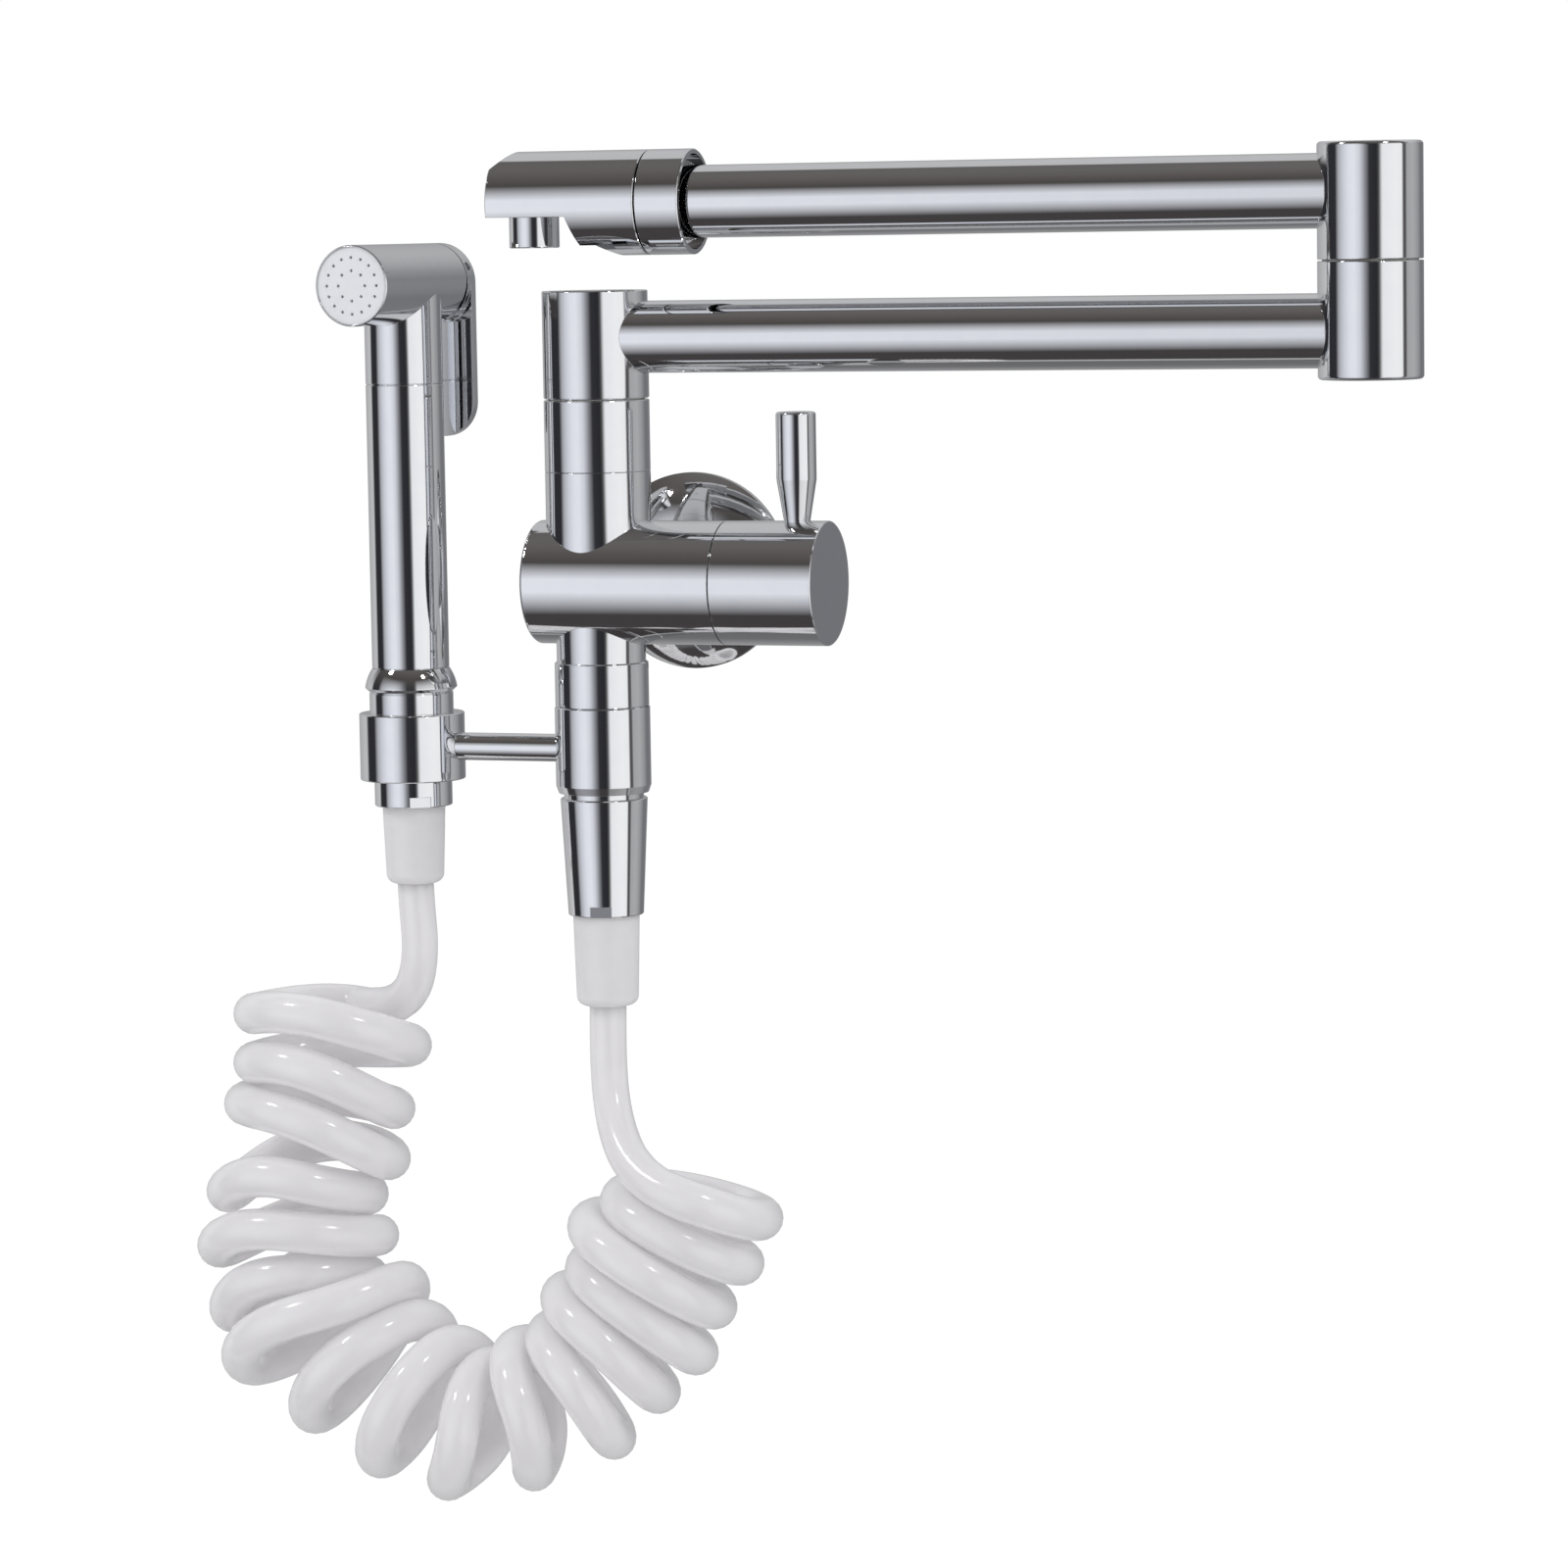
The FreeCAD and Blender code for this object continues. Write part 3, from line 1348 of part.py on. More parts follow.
def arc_edge(start, heading, end):
    """The arc that leaves start along heading and ends at end, with its radius."""
    chord = end - start
    side = chord - heading * chord.dot(heading)
    if side.Length < 1e-7:
        return Part.LineSegment(start, end).toShape(), math.inf
    side.normalize()
    radius = chord.dot(chord) / (2 * chord.dot(side))
    centre = start + side * radius
    outward = (start + end) * 0.5 - centre
    outward.normalize()
    return Part.Arc(start, centre + outward * radius, end).toShape(), radius


def biarc(start, start_way, end, end_way):
    """Two arcs that join two points and keep the heading at both."""
    gap = end - start
    both = start_way + end_way
    bend = 2 * (1 - start_way.dot(end_way))
    reach = (math.sqrt(gap.dot(both) ** 2 + bend * gap.dot(gap)) - gap.dot(both)) / bend
    middle = (start + end + (start_way - end_way) * reach) * 0.5
    first, first_r = arc_edge(start, start_way, middle)
    second, second_r = arc_edge(end, end_way * -1, middle)
    return [first, second], min(first_r, second_r)


def sweep(edges, start, way, radius):
    """One solid round tube along the edges."""
    circle = Part.Circle(start, way, radius)
    ring = Part.Wire([circle.toShape()])
    shape = Part.Wire(edges).makePipeShell([ring], True, False)
    solid = shape if shape.ShapeType == "Solid" else Part.makeSolid(shape)
    return solid


def coil_spring(start, end, height):
    """A small closed coil about the valve's axis, between two reaches from the handle's axis."""
    wire, radius = plain(dim.spring_wire_r), plain(dim.spring_r)
    low, high = plain(start) + wire, plain(end) - wire
    turns = int(plain(dim.spring_turns))
    steps = turns * 2

    def point(share):
        angle = 2 * math.pi * turns * share
        reach = low + (high - low) * share
        return V(radius * math.cos(angle), -reach, plain(height) + radius * math.sin(angle))

    edges, _ = curve_edges(point, steps)
    first = heading(point, 0)
    shape = sweep(edges, point(0), first, wire)
    shape.Placement = FreeCAD.Placement(
        V(plain(spray_x), plain(body_y), 0), FreeCAD.Rotation(V(0, 0, 1), -plain(dim.spray_turn))
    )
    return shape


def heading(point, share):
    """Direction of travel at a share of a curve."""
    step = 1e-4
    low, high = max(share - step, 0), min(share + step, 1)
    way = point(high) - point(low)
    return way.normalize()


def curve_edges(point, steps, first=0, last=None):
    """Biarcs along a curve given by a formula, from step first to step last of steps."""
    last = steps if last is None else last
    edges, tightest = [], math.inf
    for step in range(first, last):
        a, b = step / steps, (step + 1) / steps
        pair, radius = biarc(point(a), heading(point, a), point(b), heading(point, b))
        edges += pair
        tightest = min(tightest, radius)
    return edges, tightest


def smooth_route(corners, count=240):
    """Even points on the quadratic B-spline of a flat route, whose ends are the first and last corner."""
    inner = len(corners) - 3
    curve = Part.BSplineCurve()
    poles = [V(along, up, 0) for along, up in corners]
    curve.buildFromPolesMultsKnots(poles, [3] + [1] * inner + [3], list(range(inner + 2)), False, 2)
    return [(point.x, point.y) for point in curve.discretize(Number=count)]


def smooth_value(values, start, step, turn):
    """Value at a turn on a smooth line through even values."""
    place = (turn - start) / step
    i = min(max(int(math.floor(place)), 0), len(values) - 2)
    f = place - i
    before, after = values[max(i - 1, 0)], values[min(i + 2, len(values) - 1)]
    here, there = values[i], values[i + 1]
    bend = 2 * before - 5 * here + 4 * there - after + f * (3 * (here - there) + after - before)
    return here + 0.5 * f * (there - before + f * bend)


curl_parts = 2  # pieces of the line in a quarter of a turn


class Curls:
    """The curly part of the hose: turns about a hanging middle line."""

    def __init__(self):
        self.route = smooth_route(coil_route)
        self.along = [0.0]
        for (x0, z0), (x1, z1) in zip(self.route, self.route[1:]):
            self.along.append(self.along[-1] + math.hypot(x1 - x0, z1 - z0))
        self.turns = int(plain(dim.curls))
        self.shares = [plain(dim.curl_lead)]
        for outer, _, front, _, inner, _, back in coil_turns:
            self.shares += [outer, front, inner, back]
        self.outer = [row[1] for row in coil_turns]
        self.depth = [row[3] for row in coil_turns]
        self.inner = [row[5] for row in coil_turns]

    def middle(self, share):
        """Place on the middle line at a share of its length, and beyond its ends."""
        reach = share * self.along[-1]
        i = min(sum(1 for far in self.along[1:-1] if far <= reach), len(self.along) - 2)
        part = (reach - self.along[i]) / (self.along[i + 1] - self.along[i])
        (x0, z0), (x1, z1) = self.route[i], self.route[i + 1]
        return x0 + (x1 - x0) * part, z0 + (z1 - z0) * part

    def point(self, share):
        """Place on the hose at a share of its turns."""
        turn = 0.5 + self.turns * share
        along = smooth_value(self.shares, 0.75, 0.25, turn)
        outer = smooth_value(self.outer, 1, 1, turn)
        inner = smooth_value(self.inner, 1.5, 1, turn)
        near = 0.005
        x, z = self.middle(along)
        x0, z0 = self.middle(along - near)
        x1, z1 = self.middle(along + near)
        long = math.hypot(x1 - x0, z1 - z0)
        out_x, out_z = (z1 - z0) / long, (x0 - x1) / long
        angle = 2 * math.pi * turn
        wide = (outer - inner) / 2 + (outer + inner) / 2 * math.cos(angle)
        ahead = math.sin(angle)
        deep = smooth_value(self.depth, 1.25, 1, turn) if ahead > 0 else plain(dim.curl_r)
        return V(plain(riser_x) + x + out_x * wide, plain(body_y) - deep * ahead, z + out_z * wide)


def curly_hose():
    """The white hose, from the spray's connector through its curls to the tap's connector."""
    curls = Curls()
    radius = plain(dim.hose_r)
    steps = curls.turns * 4 * curl_parts
    down, up = V(0, 0, -1), V(0, 0, 1)
    spray_end = V(plain(spray_x), plain(body_y), -plain(dim.spray_connector_low))
    spray_turn = spray_end + down * plain(dim.spray_straight)
    tap_end = V(plain(riser_x), plain(body_y), -plain(dim.connector_low))
    tap_turn = tap_end + down * plain(dim.tap_straight)
    first, last = curl_parts / steps, 1 - curl_parts / steps
    edges = [Part.LineSegment(spray_end, spray_turn).toShape()]
    lead, lead_r = biarc(spray_turn, down, curls.point(first), heading(curls.point, first))
    turns, turn_r = curve_edges(curls.point, steps, curl_parts, steps - curl_parts)
    trail, trail_r = biarc(curls.point(last), heading(curls.point, last), tap_turn, up)
    edges += lead + turns + trail
    edges.append(Part.LineSegment(tap_turn, tap_end).toShape())
    wire = Part.Wire(edges)
    solid = sweep(edges, spray_end, down, radius)
    ideal = math.pi * radius**2 * wire.Length
    print(f"hose: length {wire.Length:.0f} mm, volume {solid.Volume:.0f}, section x length {ideal:.0f} mm3")
    print(f"hose: bends into the curls {lead_r:.1f} and {trail_r:.1f} mm, tightest curl {turn_r:.1f} mm")
    print(f"hose: least gap to itself {own_gap(edges, radius):.2f} mm, wanted over {plain(dim.least_gap)}")
    hose = doc.addObject("Part::Feature", "CurlyHose")
    hose.Shape = solid
    piece("curly_hose", hose)


def own_gap(edges, radius, spacing=2.0):
    """Least gap of a tube to itself, on points along its line, leaving out neighbours on the same bend."""
    points = []
    for edge in edges:
        points += edge.discretize(max(3, int(edge.Length / spacing)))[:-1]
    apart = int(math.pi * plain(dim.curl_r) / spacing)
    best = math.inf
    for i, point in enumerate(points):
        for other in points[i + apart :]:
            best = min(best, (point - other).Length)
    return best - 2 * radius


def check_and_export():
    doc.recompute()
    for thing in doc.Objects:
        if "Invalid" in thing.State or "Error" in thing.State:
            raise RuntimeError(f"{thing.Name} ({thing.Label}) failed: {thing.State}")
    os.makedirs("parts", exist_ok=True)
    for name, thing in pieces.items():
        shape = thing.Shape
        if shape.isNull() or not shape.isValid() or not shape.Solids:
            raise RuntimeError(f"{name} has no valid solid")
        shape.exportStep(f"parts/{name}.step")
        print(f"{name}: {len(shape.Solids)} solid, {shape.Volume:.0f} mm3")
    print(len(pieces), "pieces")


wall_side()
valve_body()
cartridge()
handle()
riser()
arms()
spout_collar()
spout_head()
aerator()
lower_outlet()
hose_ends()
holder()
spray_handle()
spray_head()
spray_face()
trigger()
valve()
curly_hose()
check_and_export()
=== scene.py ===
import json
import math

import bpy
from mathutils import Matrix, Vector


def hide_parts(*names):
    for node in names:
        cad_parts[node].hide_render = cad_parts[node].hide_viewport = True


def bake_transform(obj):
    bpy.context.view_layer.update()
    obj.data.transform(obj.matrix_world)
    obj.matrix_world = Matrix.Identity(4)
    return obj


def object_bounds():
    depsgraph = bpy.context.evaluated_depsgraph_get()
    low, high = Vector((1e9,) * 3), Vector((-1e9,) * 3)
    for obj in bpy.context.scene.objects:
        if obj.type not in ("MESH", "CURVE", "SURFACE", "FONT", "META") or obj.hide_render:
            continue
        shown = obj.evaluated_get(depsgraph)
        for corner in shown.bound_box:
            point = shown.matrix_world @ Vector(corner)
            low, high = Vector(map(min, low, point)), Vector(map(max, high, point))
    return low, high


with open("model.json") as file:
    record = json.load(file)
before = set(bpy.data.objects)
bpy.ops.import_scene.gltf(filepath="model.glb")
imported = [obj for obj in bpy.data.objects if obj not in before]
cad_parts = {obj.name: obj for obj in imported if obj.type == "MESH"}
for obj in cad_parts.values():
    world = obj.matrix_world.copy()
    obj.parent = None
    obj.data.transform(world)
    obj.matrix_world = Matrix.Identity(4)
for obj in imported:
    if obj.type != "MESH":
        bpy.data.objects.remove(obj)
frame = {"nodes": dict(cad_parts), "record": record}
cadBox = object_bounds()


# camera: where the photograph was taken from

cameraView = {
    "place": (0.5972, -1.6615, 0.1108),
    "azimuth": 18.9,
    "elevation": 5.8,
    "roll": 0.917,
    "lens": 128.25,
    "filmWidth": 36,
    "nearest": 0.05,
    "farthest": 30,
}


def wayTo(azimuth, elevation):
    # from the object, azimuth counted to the right of straight out from the wall
    flat = math.cos(elevation)
    return Vector((math.sin(azimuth) * flat, -math.cos(azimuth) * flat, math.sin(elevation)))


def makeCamera():
    azimuth = math.radians(cameraView["azimuth"])
    roll = math.radians(cameraView["roll"])
    back = wayTo(azimuth, math.radians(cameraView["elevation"]))
    right = Vector((math.cos(azimuth), math.sin(azimuth), 0))
    up = back.cross(right)
    across = right * math.cos(roll) - up * math.sin(roll)
    upward = right * math.sin(roll) + up * math.cos(roll)
    camera = bpy.data.objects.new("camera", bpy.data.cameras.new("camera"))
    camera.data.lens = cameraView["lens"]
    camera.data.sensor_width = cameraView["filmWidth"]
    camera.data.clip_start = cameraView["nearest"]
    camera.data.clip_end = cameraView["farthest"]
    turned = Matrix((across, upward, back)).transposed().to_4x4()
    camera.matrix_world = Matrix.Translation(cameraView["place"]) @ turned
    bpy.context.collection.objects.link(camera)
    bpy.context.scene.camera = camera


makeCamera()
print("camera set")


# nodes of a material, in short

def addNode(tree, kind, inputs=None, **settings):
    made = tree.nodes.new(kind)
    for name, value in settings.items():
        setattr(made, name, value)
    for name, value in (inputs or {}).items():
        if isinstance(value, bpy.types.NodeSocket):
            tree.links.new(value, made.inputs[name])
        else:
            made.inputs[name].default_value = value
    return made


def newMaterial(name):
    material = bpy.data.materials.new(name)
    material.use_nodes = True
    tree = material.node_tree
    shader = next(n for n in tree.nodes if n.type == "BSDF_PRINCIPLED")
    spot = addNode(tree, "ShaderNodeTexCoord").outputs["Object"]
    return material, tree, shader, spot


def noise(tree, spot, scale, detail=2.0, roughness=0.5):
    inputs = {"Vector": spot, "Scale": scale, "Detail": detail, "Roughness": roughness}
    return addNode(tree, "ShaderNodeTexNoise", inputs).outputs["Fac"]


def spread(tree, value, low, high, fromLow=0.3, fromHigh=0.7):
    inputs = {"Value": value, "From Min": fromLow, "From Max": fromHigh, "To Min": low, "To Max": high}
    return addNode(tree, "ShaderNodeMapRange", inputs).outputs["Result"]


def ramp(tree, value, stops):
    made = addNode(tree, "ShaderNodeValToRGB", {"Fac": value})
    band = made.color_ramp
    while len(band.elements) > 1:
        band.elements.remove(band.elements[-1])
    band.elements[0].position, band.elements[0].color = stops[0][0], (*stops[0][1], 1)
    for place, colour in stops[1:]:
        band.elements.new(place).color = (*colour, 1)
    return made.outputs["Color"]


def tintBetween(tree, cloud, main, other, reach=0.75):
    # two shades that drift into each other with the cloud
    return ramp(tree, cloud, [(0.3, main), (reach, other)])


def bump(tree, height, depth, strength=1.0, normal=None):
    inputs = {"Height": height, "Strength": strength, "Distance": depth}
    if normal is not None:
        inputs["Normal"] = normal
    return addNode(tree, "ShaderNodeBump", inputs).outputs["Normal"]


# curly hose: one NURBS line from the tap's connector to the spray's, its turns wound round the route

hoseShape = {
    "tap": Vector((-0.0105, -0.058, -0.131)),
    "spray": Vector((-0.074, -0.058, -0.0944)),
    "turns": 17,
    "perTurn": 16,
    "firstBack": 0.033,  # share of the route at which the first turn starts behind
    "depth": 0.0215,  # of the turns behind the route
    "curlTube": 0.0066,
    "straightTube": 0.0057,
    "diameter": 0.0126,
    "aimStep": 0.005,  # share of the route over which its direction is read
    "routeSteps": 40,
    "swellPoints": 5,  # control points over which the tube grows to its full size
    "pathSteps": 6,
    "roundSteps": 8,
    "stillEnd": Vector((-0.0166, -0.058, -0.131)),  # from here on the hose stays with the body
    "stillLean": 57.0,  # degrees from level, up to the spray
    "movingEnd": Vector((-0.068, -0.058, -0.0944)),
}

hoseRoute = [  # from the spray's end to the tap's end, along the wall and up
    (-0.1020, -0.1280),
    (-0.1095, -0.1668),
    (-0.1200, -0.1956),
    (-0.1188, -0.2216),
    (-0.1049, -0.2463),
    (-0.0694, -0.2656),
    (-0.0383, -0.2632),
    (-0.0103, -0.2422),
    (0.0058, -0.2174),
    (0.0160, -0.1866),
]

# each turn: outer tip's share of the route and reach from it, front's share and depth,
# inner tip's share and reach, and the share at the back before the next turn
# the shares at the back of turns 8, 9 and 10 are set so that they show between the fronts
hoseTurns = [
    (0.051, 0.0245, 0.021, 0.0215, 0.042, 0.0269, 0.078),
    (0.105, 0.0215, 0.079, 0.0215, 0.114, 0.0252, 0.135),
    (0.154, 0.0218, 0.135, 0.0216, 0.166, 0.0276, 0.184),
    (0.249, 0.0208, 0.204, 0.0211, 0.210, 0.0235, 0.268),
    (0.295, 0.0238, 0.264, 0.0212, 0.285, 0.0285, 0.321),
    (0.346, 0.0246, 0.319, 0.0187, 0.354, 0.0206, 0.393),
    (0.387, 0.0273, 0.367, 0.0243, 0.422, 0.0310, 0.444),
    (0.448, 0.0205, 0.443, 0.0215, 0.491, 0.0252, 0.520),
    (0.521, 0.0201, 0.526, 0.0215, 0.556, 0.0223, 0.602),
    (0.581, 0.0195, 0.611, 0.0215, 0.623, 0.0166, 0.650),
    (0.653, 0.0176, 0.693, 0.0214, 0.689, 0.0203, 0.704),
    (0.731, 0.0200, 0.763, 0.0215, 0.748, 0.0189, 0.767),
    (0.793, 0.0187, 0.818, 0.0209, 0.803, 0.0242, 0.822),
    (0.842, 0.0210, 0.866, 0.0205, 0.868, 0.0224, 0.873),
    (0.888, 0.0197, 0.914, 0.0228, 0.919, 0.0267, 0.923),
    (0.941, 0.0228, 0.958, 0.0197, 0.963, 0.0194, 0.973),
    (0.992, 0.0238, 1.004, 0.0217, 0.982, 0.0166, 0.997),
]

sprayBend = [  # from the spray's connector down and back into the first turn
    (-0.0738, -0.0580, -0.1000),
    (-0.0734, -0.0580, -0.1060),
    (-0.0729, -0.0580, -0.1130),
    (-0.0740, -0.0570, -0.1220),
    (-0.0782, -0.0535, -0.1299),
    (-0.0872, -0.0470, -0.1353),
    (-0.0989, -0.0405, -0.1373),
]

tapBend = [  # out of the last turn in front and up to the tap's connector
    (0.0098, -0.0770, -0.1835),
    (0.0009, -0.0720, -0.1777),
    (-0.0052, -0.0660, -0.1695),
    (-0.0090, -0.0610, -0.1597),
    (-0.0106, -0.0583, -0.1494),
    (-0.0107, -0.0580, -0.1403),
    (-0.0106, -0.0580, -0.1355),
]


def nurbsLine(name, points, radii=None, steps=12):
    curve = bpy.data.curves.new(name, "CURVE")
    curve.dimensions = "3D"
    curve.resolution_u = steps
    line = curve.splines.new("NURBS")
    line.points.add(len(points) - 1)
    for i, place in enumerate(points):
        line.points[i].co = (*place, 1)
        line.points[i].radius = radii[i] if radii else 1
    line.order_u = 3
    line.use_endpoint_u = True
    made = bpy.data.objects.new(name, curve)
    bpy.context.collection.objects.link(made)
    return made


def linePoints(made):
    bpy.context.view_layer.update()
    mesh = bpy.data.meshes.new_from_object(made)
    points = [v.co.copy() for v in mesh.vertices]
    bpy.data.meshes.remove(mesh)
    return points


class Middle:
    # the route's line, walked by its length and straight on beyond its ends
    def __init__(self, points):
        self.points = points
        self.far = [0.0]
        for a, b in zip(points, points[1:]):
            self.far.append(self.far[-1] + (b - a).length)

    def at(self, share):
        reach = share * self.far[-1]
        i = min(sum(1 for f in self.far[1:-1] if f <= reach), len(self.far) - 2)
        part = (reach - self.far[i]) / (self.far[i + 1] - self.far[i])
        return self.points[i] + (self.points[i + 1] - self.points[i]) * part

    def outward(self, share):
        step = hoseShape["aimStep"]
        along = (self.at(share + step) - self.at(share - step)).normalized()
        return Vector((along.z, 0, -along.x))


def smoothValue(values, start, step, turn):
    # value at a turn on a smooth line through even values
    place = (turn - start) / step
    i = min(max(math.floor(place), 0), len(values) - 2)
    f = place - i
    before, here = values[max(i - 1, 0)], values[i]
    there, after = values[i + 1], values[min(i + 2, len(values) - 1)]
    bend = 2 * before - 5 * here + 4 * there - after + f * (3 * (here - there) + after - before)
    return here + 0.5 * f * (there - before + f * bend)


def hoseCurls(middle):
    # a turn counts from its outer tip; its front, inner tip and back follow at the quarters
    shares = [hoseShape["firstBack"]]
    for outer, _, front, _, inner, _, back in hoseTurns:
        shares += [outer, front, inner, back]
    outerReach = [row[1] for row in hoseTurns]
    frontDepth = [row[3] for row in hoseTurns]
    innerReach = [row[5] for row in hoseTurns]
    grow = 1 / math.cos(math.pi / hoseShape["perTurn"])  # the line runs inside its control points
    firstTurn = 0.75  # the hose starts behind, a quarter before the first outer tip
    points = []
    for k in range(int((hoseShape["turns"] - 0.5) * hoseShape["perTurn"]) + 1):
        turn = firstTurn + k / hoseShape["perTurn"]
        share = smoothValue(shares, firstTurn, 0.25, turn)
        outer = smoothValue(outerReach, 1, 1, turn) * grow
        inner = smoothValue(innerReach, 1.5, 1, turn) * grow
        angle = 2 * math.pi * turn
        wide = (outer - inner) / 2 + (outer + inner) / 2 * math.cos(angle)
        ahead = math.sin(angle)
        deep = smoothValue(frontDepth, 1.25, 1, turn) if ahead > 0 else hoseShape["depth"]
        forward = Vector((0, -deep * grow * ahead, 0))
        points.append(middle.at(share) + middle.outward(share) * wide + forward)
    return points


def hoseRadii(startCount, curlCount, endCount):
    # slim on the two straight ends, swelling to the full tube on the first and last turn
    slim = hoseShape["straightTube"] / hoseShape["curlTube"]
    count = hoseShape["swellPoints"]
    swell = [slim + (1 - slim) * k / (count - 1) for k in range(count)]
    inEnd = count - 1  # swelling points that lie on a straight end
    first = [slim] * (startCount - inEnd) + swell
    last = swell[::-1] + [slim] * (endCount - inEnd)
    return first + [1] * (curlCount - 2) + last


def makeHose(material):
    points = [Vector((x, hoseShape["tap"].y, z)) for x, z in hoseRoute]
    routeLine = nurbsLine("route", points, steps=hoseShape["routeSteps"])
    middle = Middle(linePoints(routeLine))
    bpy.data.objects.remove(routeLine)
    curls = hoseCurls(middle)
    start = [hoseShape["spray"]] + sprayBend
    end = tapBend + [hoseShape["tap"]]
    whole = start + curls + end
    radii = hoseRadii(len(start), len(curls), len(end))
    whole.reverse()
    radii.reverse()
    line = nurbsLine("hoseLine", whole, radii, steps=hoseShape["pathSteps"])
    path = linePoints(line)
    line.data.bevel_depth = hoseShape["curlTube"]
    line.data.bevel_resolution = hoseShape["roundSteps"]
    line.data.use_fill_caps = True
    bpy.context.view_layer.update()
    mesh = bpy.data.meshes.new_from_object(line)
    bpy.data.objects.remove(line)
    mesh.materials.clear()
    mesh.materials.append(material)
    for face in mesh.polygons:
        face.use_smooth = True
    hose = bpy.data.objects.new("hose", mesh)
    bpy.context.collection.objects.link(hose)
    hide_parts("curly_hose")
    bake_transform(hose)
    return hose


# finishes

chromeLook = {
    "colour": (0.84, 0.845, 0.855),
    "shade": (0.81, 0.82, 0.835),
    "roughness": (0.03, 0.07),
    "smudgeScale": 140.0,
    "smudgeRange": (0.12, 0.4),
    "fineScale": 2600.0,
    "waveScale": 45.0,
    "waveDepth": 0.00002,
    "waveStrength": 0.4,
    "edge": 0.00025,  # edges look rounded by this much
}


def chromeMaterial():
    material, tree, shader, spot = newMaterial("chrome plate")
    smudge = noise(tree, spot, chromeLook["smudgeScale"], 3.0, 0.6)
    fine = noise(tree, spot, chromeLook["fineScale"], 2.0)
    both = addNode(tree, "ShaderNodeMath", {0: smudge, 1: fine}, operation="MULTIPLY").outputs[0]
    rough = spread(tree, both, *chromeLook["roughness"], *chromeLook["smudgeRange"])
    tint = tintBetween(tree, smudge, chromeLook["colour"], chromeLook["shade"])
    wave = noise(tree, spot, chromeLook["waveScale"], 1.0)
    edge = addNode(tree, "ShaderNodeBevel", {"Radius": chromeLook["edge"]}, samples=4).outputs["Normal"]
    normal = bump(tree, wave, chromeLook["waveDepth"], chromeLook["waveStrength"], edge)
    tree.links.new(tint, shader.inputs["Base Color"])
    tree.links.new(rough, shader.inputs["Roughness"])
    tree.links.new(normal, shader.inputs["Normal"])
    shader.inputs["Metallic"].default_value = 1
    return material


hoseLook = {
    "colour": (0.70, 0.69, 0.705),
    "shade": (0.67, 0.66, 0.675),
    "roughness": (0.14, 0.22),
    "paintedGlow": 0.10,  # painted glow: emission standing in for light that comes through the wall from behind
    "paintedGlowColour": (1, 0.99, 1, 1),
    "glow": 1.0,
    "glowReach": (0.012, 0.012, 0.012),
    "coat": 0.6,
    "coatRoughness": 0.05,
    "sheen": 0.6,
    "sheenRoughness": 0.3,
    "cloudScale": 90.0,
    "skinScale": 1400.0,
    "skinDepth": 0.00003,
}


def hoseMaterial():
    material, tree, shader, spot = newMaterial("white hose")
    cloud = noise(tree, spot, hoseLook["cloudScale"], 3.0)
    skin = noise(tree, spot, hoseLook["skinScale"], 2.0)
    tint = tintBetween(tree, cloud, hoseLook["colour"], hoseLook["shade"])
    tree.links.new(tint, shader.inputs["Base Color"])
    tree.links.new(spread(tree, cloud, *hoseLook["roughness"]), shader.inputs["Roughness"])
    tree.links.new(bump(tree, skin, hoseLook["skinDepth"], 0.3), shader.inputs["Normal"])
    shader.inputs["Subsurface Weight"].default_value = hoseLook["glow"]
    shader.inputs["Subsurface Radius"].default_value = hoseLook["glowReach"]
    shader.inputs["Subsurface Scale"].default_value = 1
    # painted glow: a little emission lightens the whole hose, the shade in the gaps between its turns too
    shader.inputs["Emission Color"].default_value = hoseLook["paintedGlowColour"]
    shader.inputs["Emission Strength"].default_value = hoseLook["paintedGlow"]
    shader.inputs["Coat Weight"].default_value = hoseLook["coat"]
    shader.inputs["Coat Roughness"].default_value = hoseLook["coatRoughness"]
    shader.inputs["Sheen Weight"].default_value = hoseLook["sheen"]
    shader.inputs["Sheen Roughness"].default_value = hoseLook["sheenRoughness"]
    return material


plasticLooks = {
    "milky plastic": {
        "colour": (0.82, 0.81, 0.83),
        "dark": (0.79, 0.78, 0.80),
        "roughness": (0.30, 0.42),
        "glow": 0.6,
    },
    "white plastic": {
        "colour": (0.86, 0.87, 0.91),
        "dark": (0.83, 0.84, 0.88),
        "roughness": (0.28, 0.38),
        "glow": 0.15,
    },
    "nylon": {
        "colour": (0.80, 0.79, 0.75),
        "dark": (0.74, 0.73, 0.69),
        "roughness": (0.45, 0.55),
        "glow": 0.2,
    },
    "ceramic": {
        "colour": (0.88, 0.87, 0.84),
        "dark": (0.82, 0.81, 0.78),
        "roughness": (0.12, 0.2),
        "glow": 0.0,
    },
    "rubber": {
        "colour": (0.045, 0.045, 0.047),
        "dark": (0.03, 0.03, 0.032),
        "roughness": (0.55, 0.7),
        "glow": 0.0,
    },
}

plasticSkin = {
    "cloudScale": 160.0,
    "grainScale": 2200.0,
    "grainDepth": 0.00002,
    "glowReach": (0.004, 0.004, 0.004),
}


def plasticMaterial(name):
    look = plasticLooks[name]
    material, tree, shader, spot = newMaterial(name)
    cloud = noise(tree, spot, plasticSkin["cloudScale"], 3.0)
    grain = noise(tree, spot, plasticSkin["grainScale"], 2.0)
    tint = tintBetween(tree, cloud, look["colour"], look["dark"])
    tree.links.new(tint, shader.inputs["Base Color"])
    tree.links.new(spread(tree, cloud, *look["roughness"]), shader.inputs["Roughness"])
    tree.links.new(bump(tree, grain, plasticSkin["grainDepth"], 0.4), shader.inputs["Normal"])
    shader.inputs["Subsurface Weight"].default_value = look["glow"]
    shader.inputs["Subsurface Radius"].default_value = plasticSkin["glowReach"]
    shader.inputs["Subsurface Scale"].default_value = 1
    return material


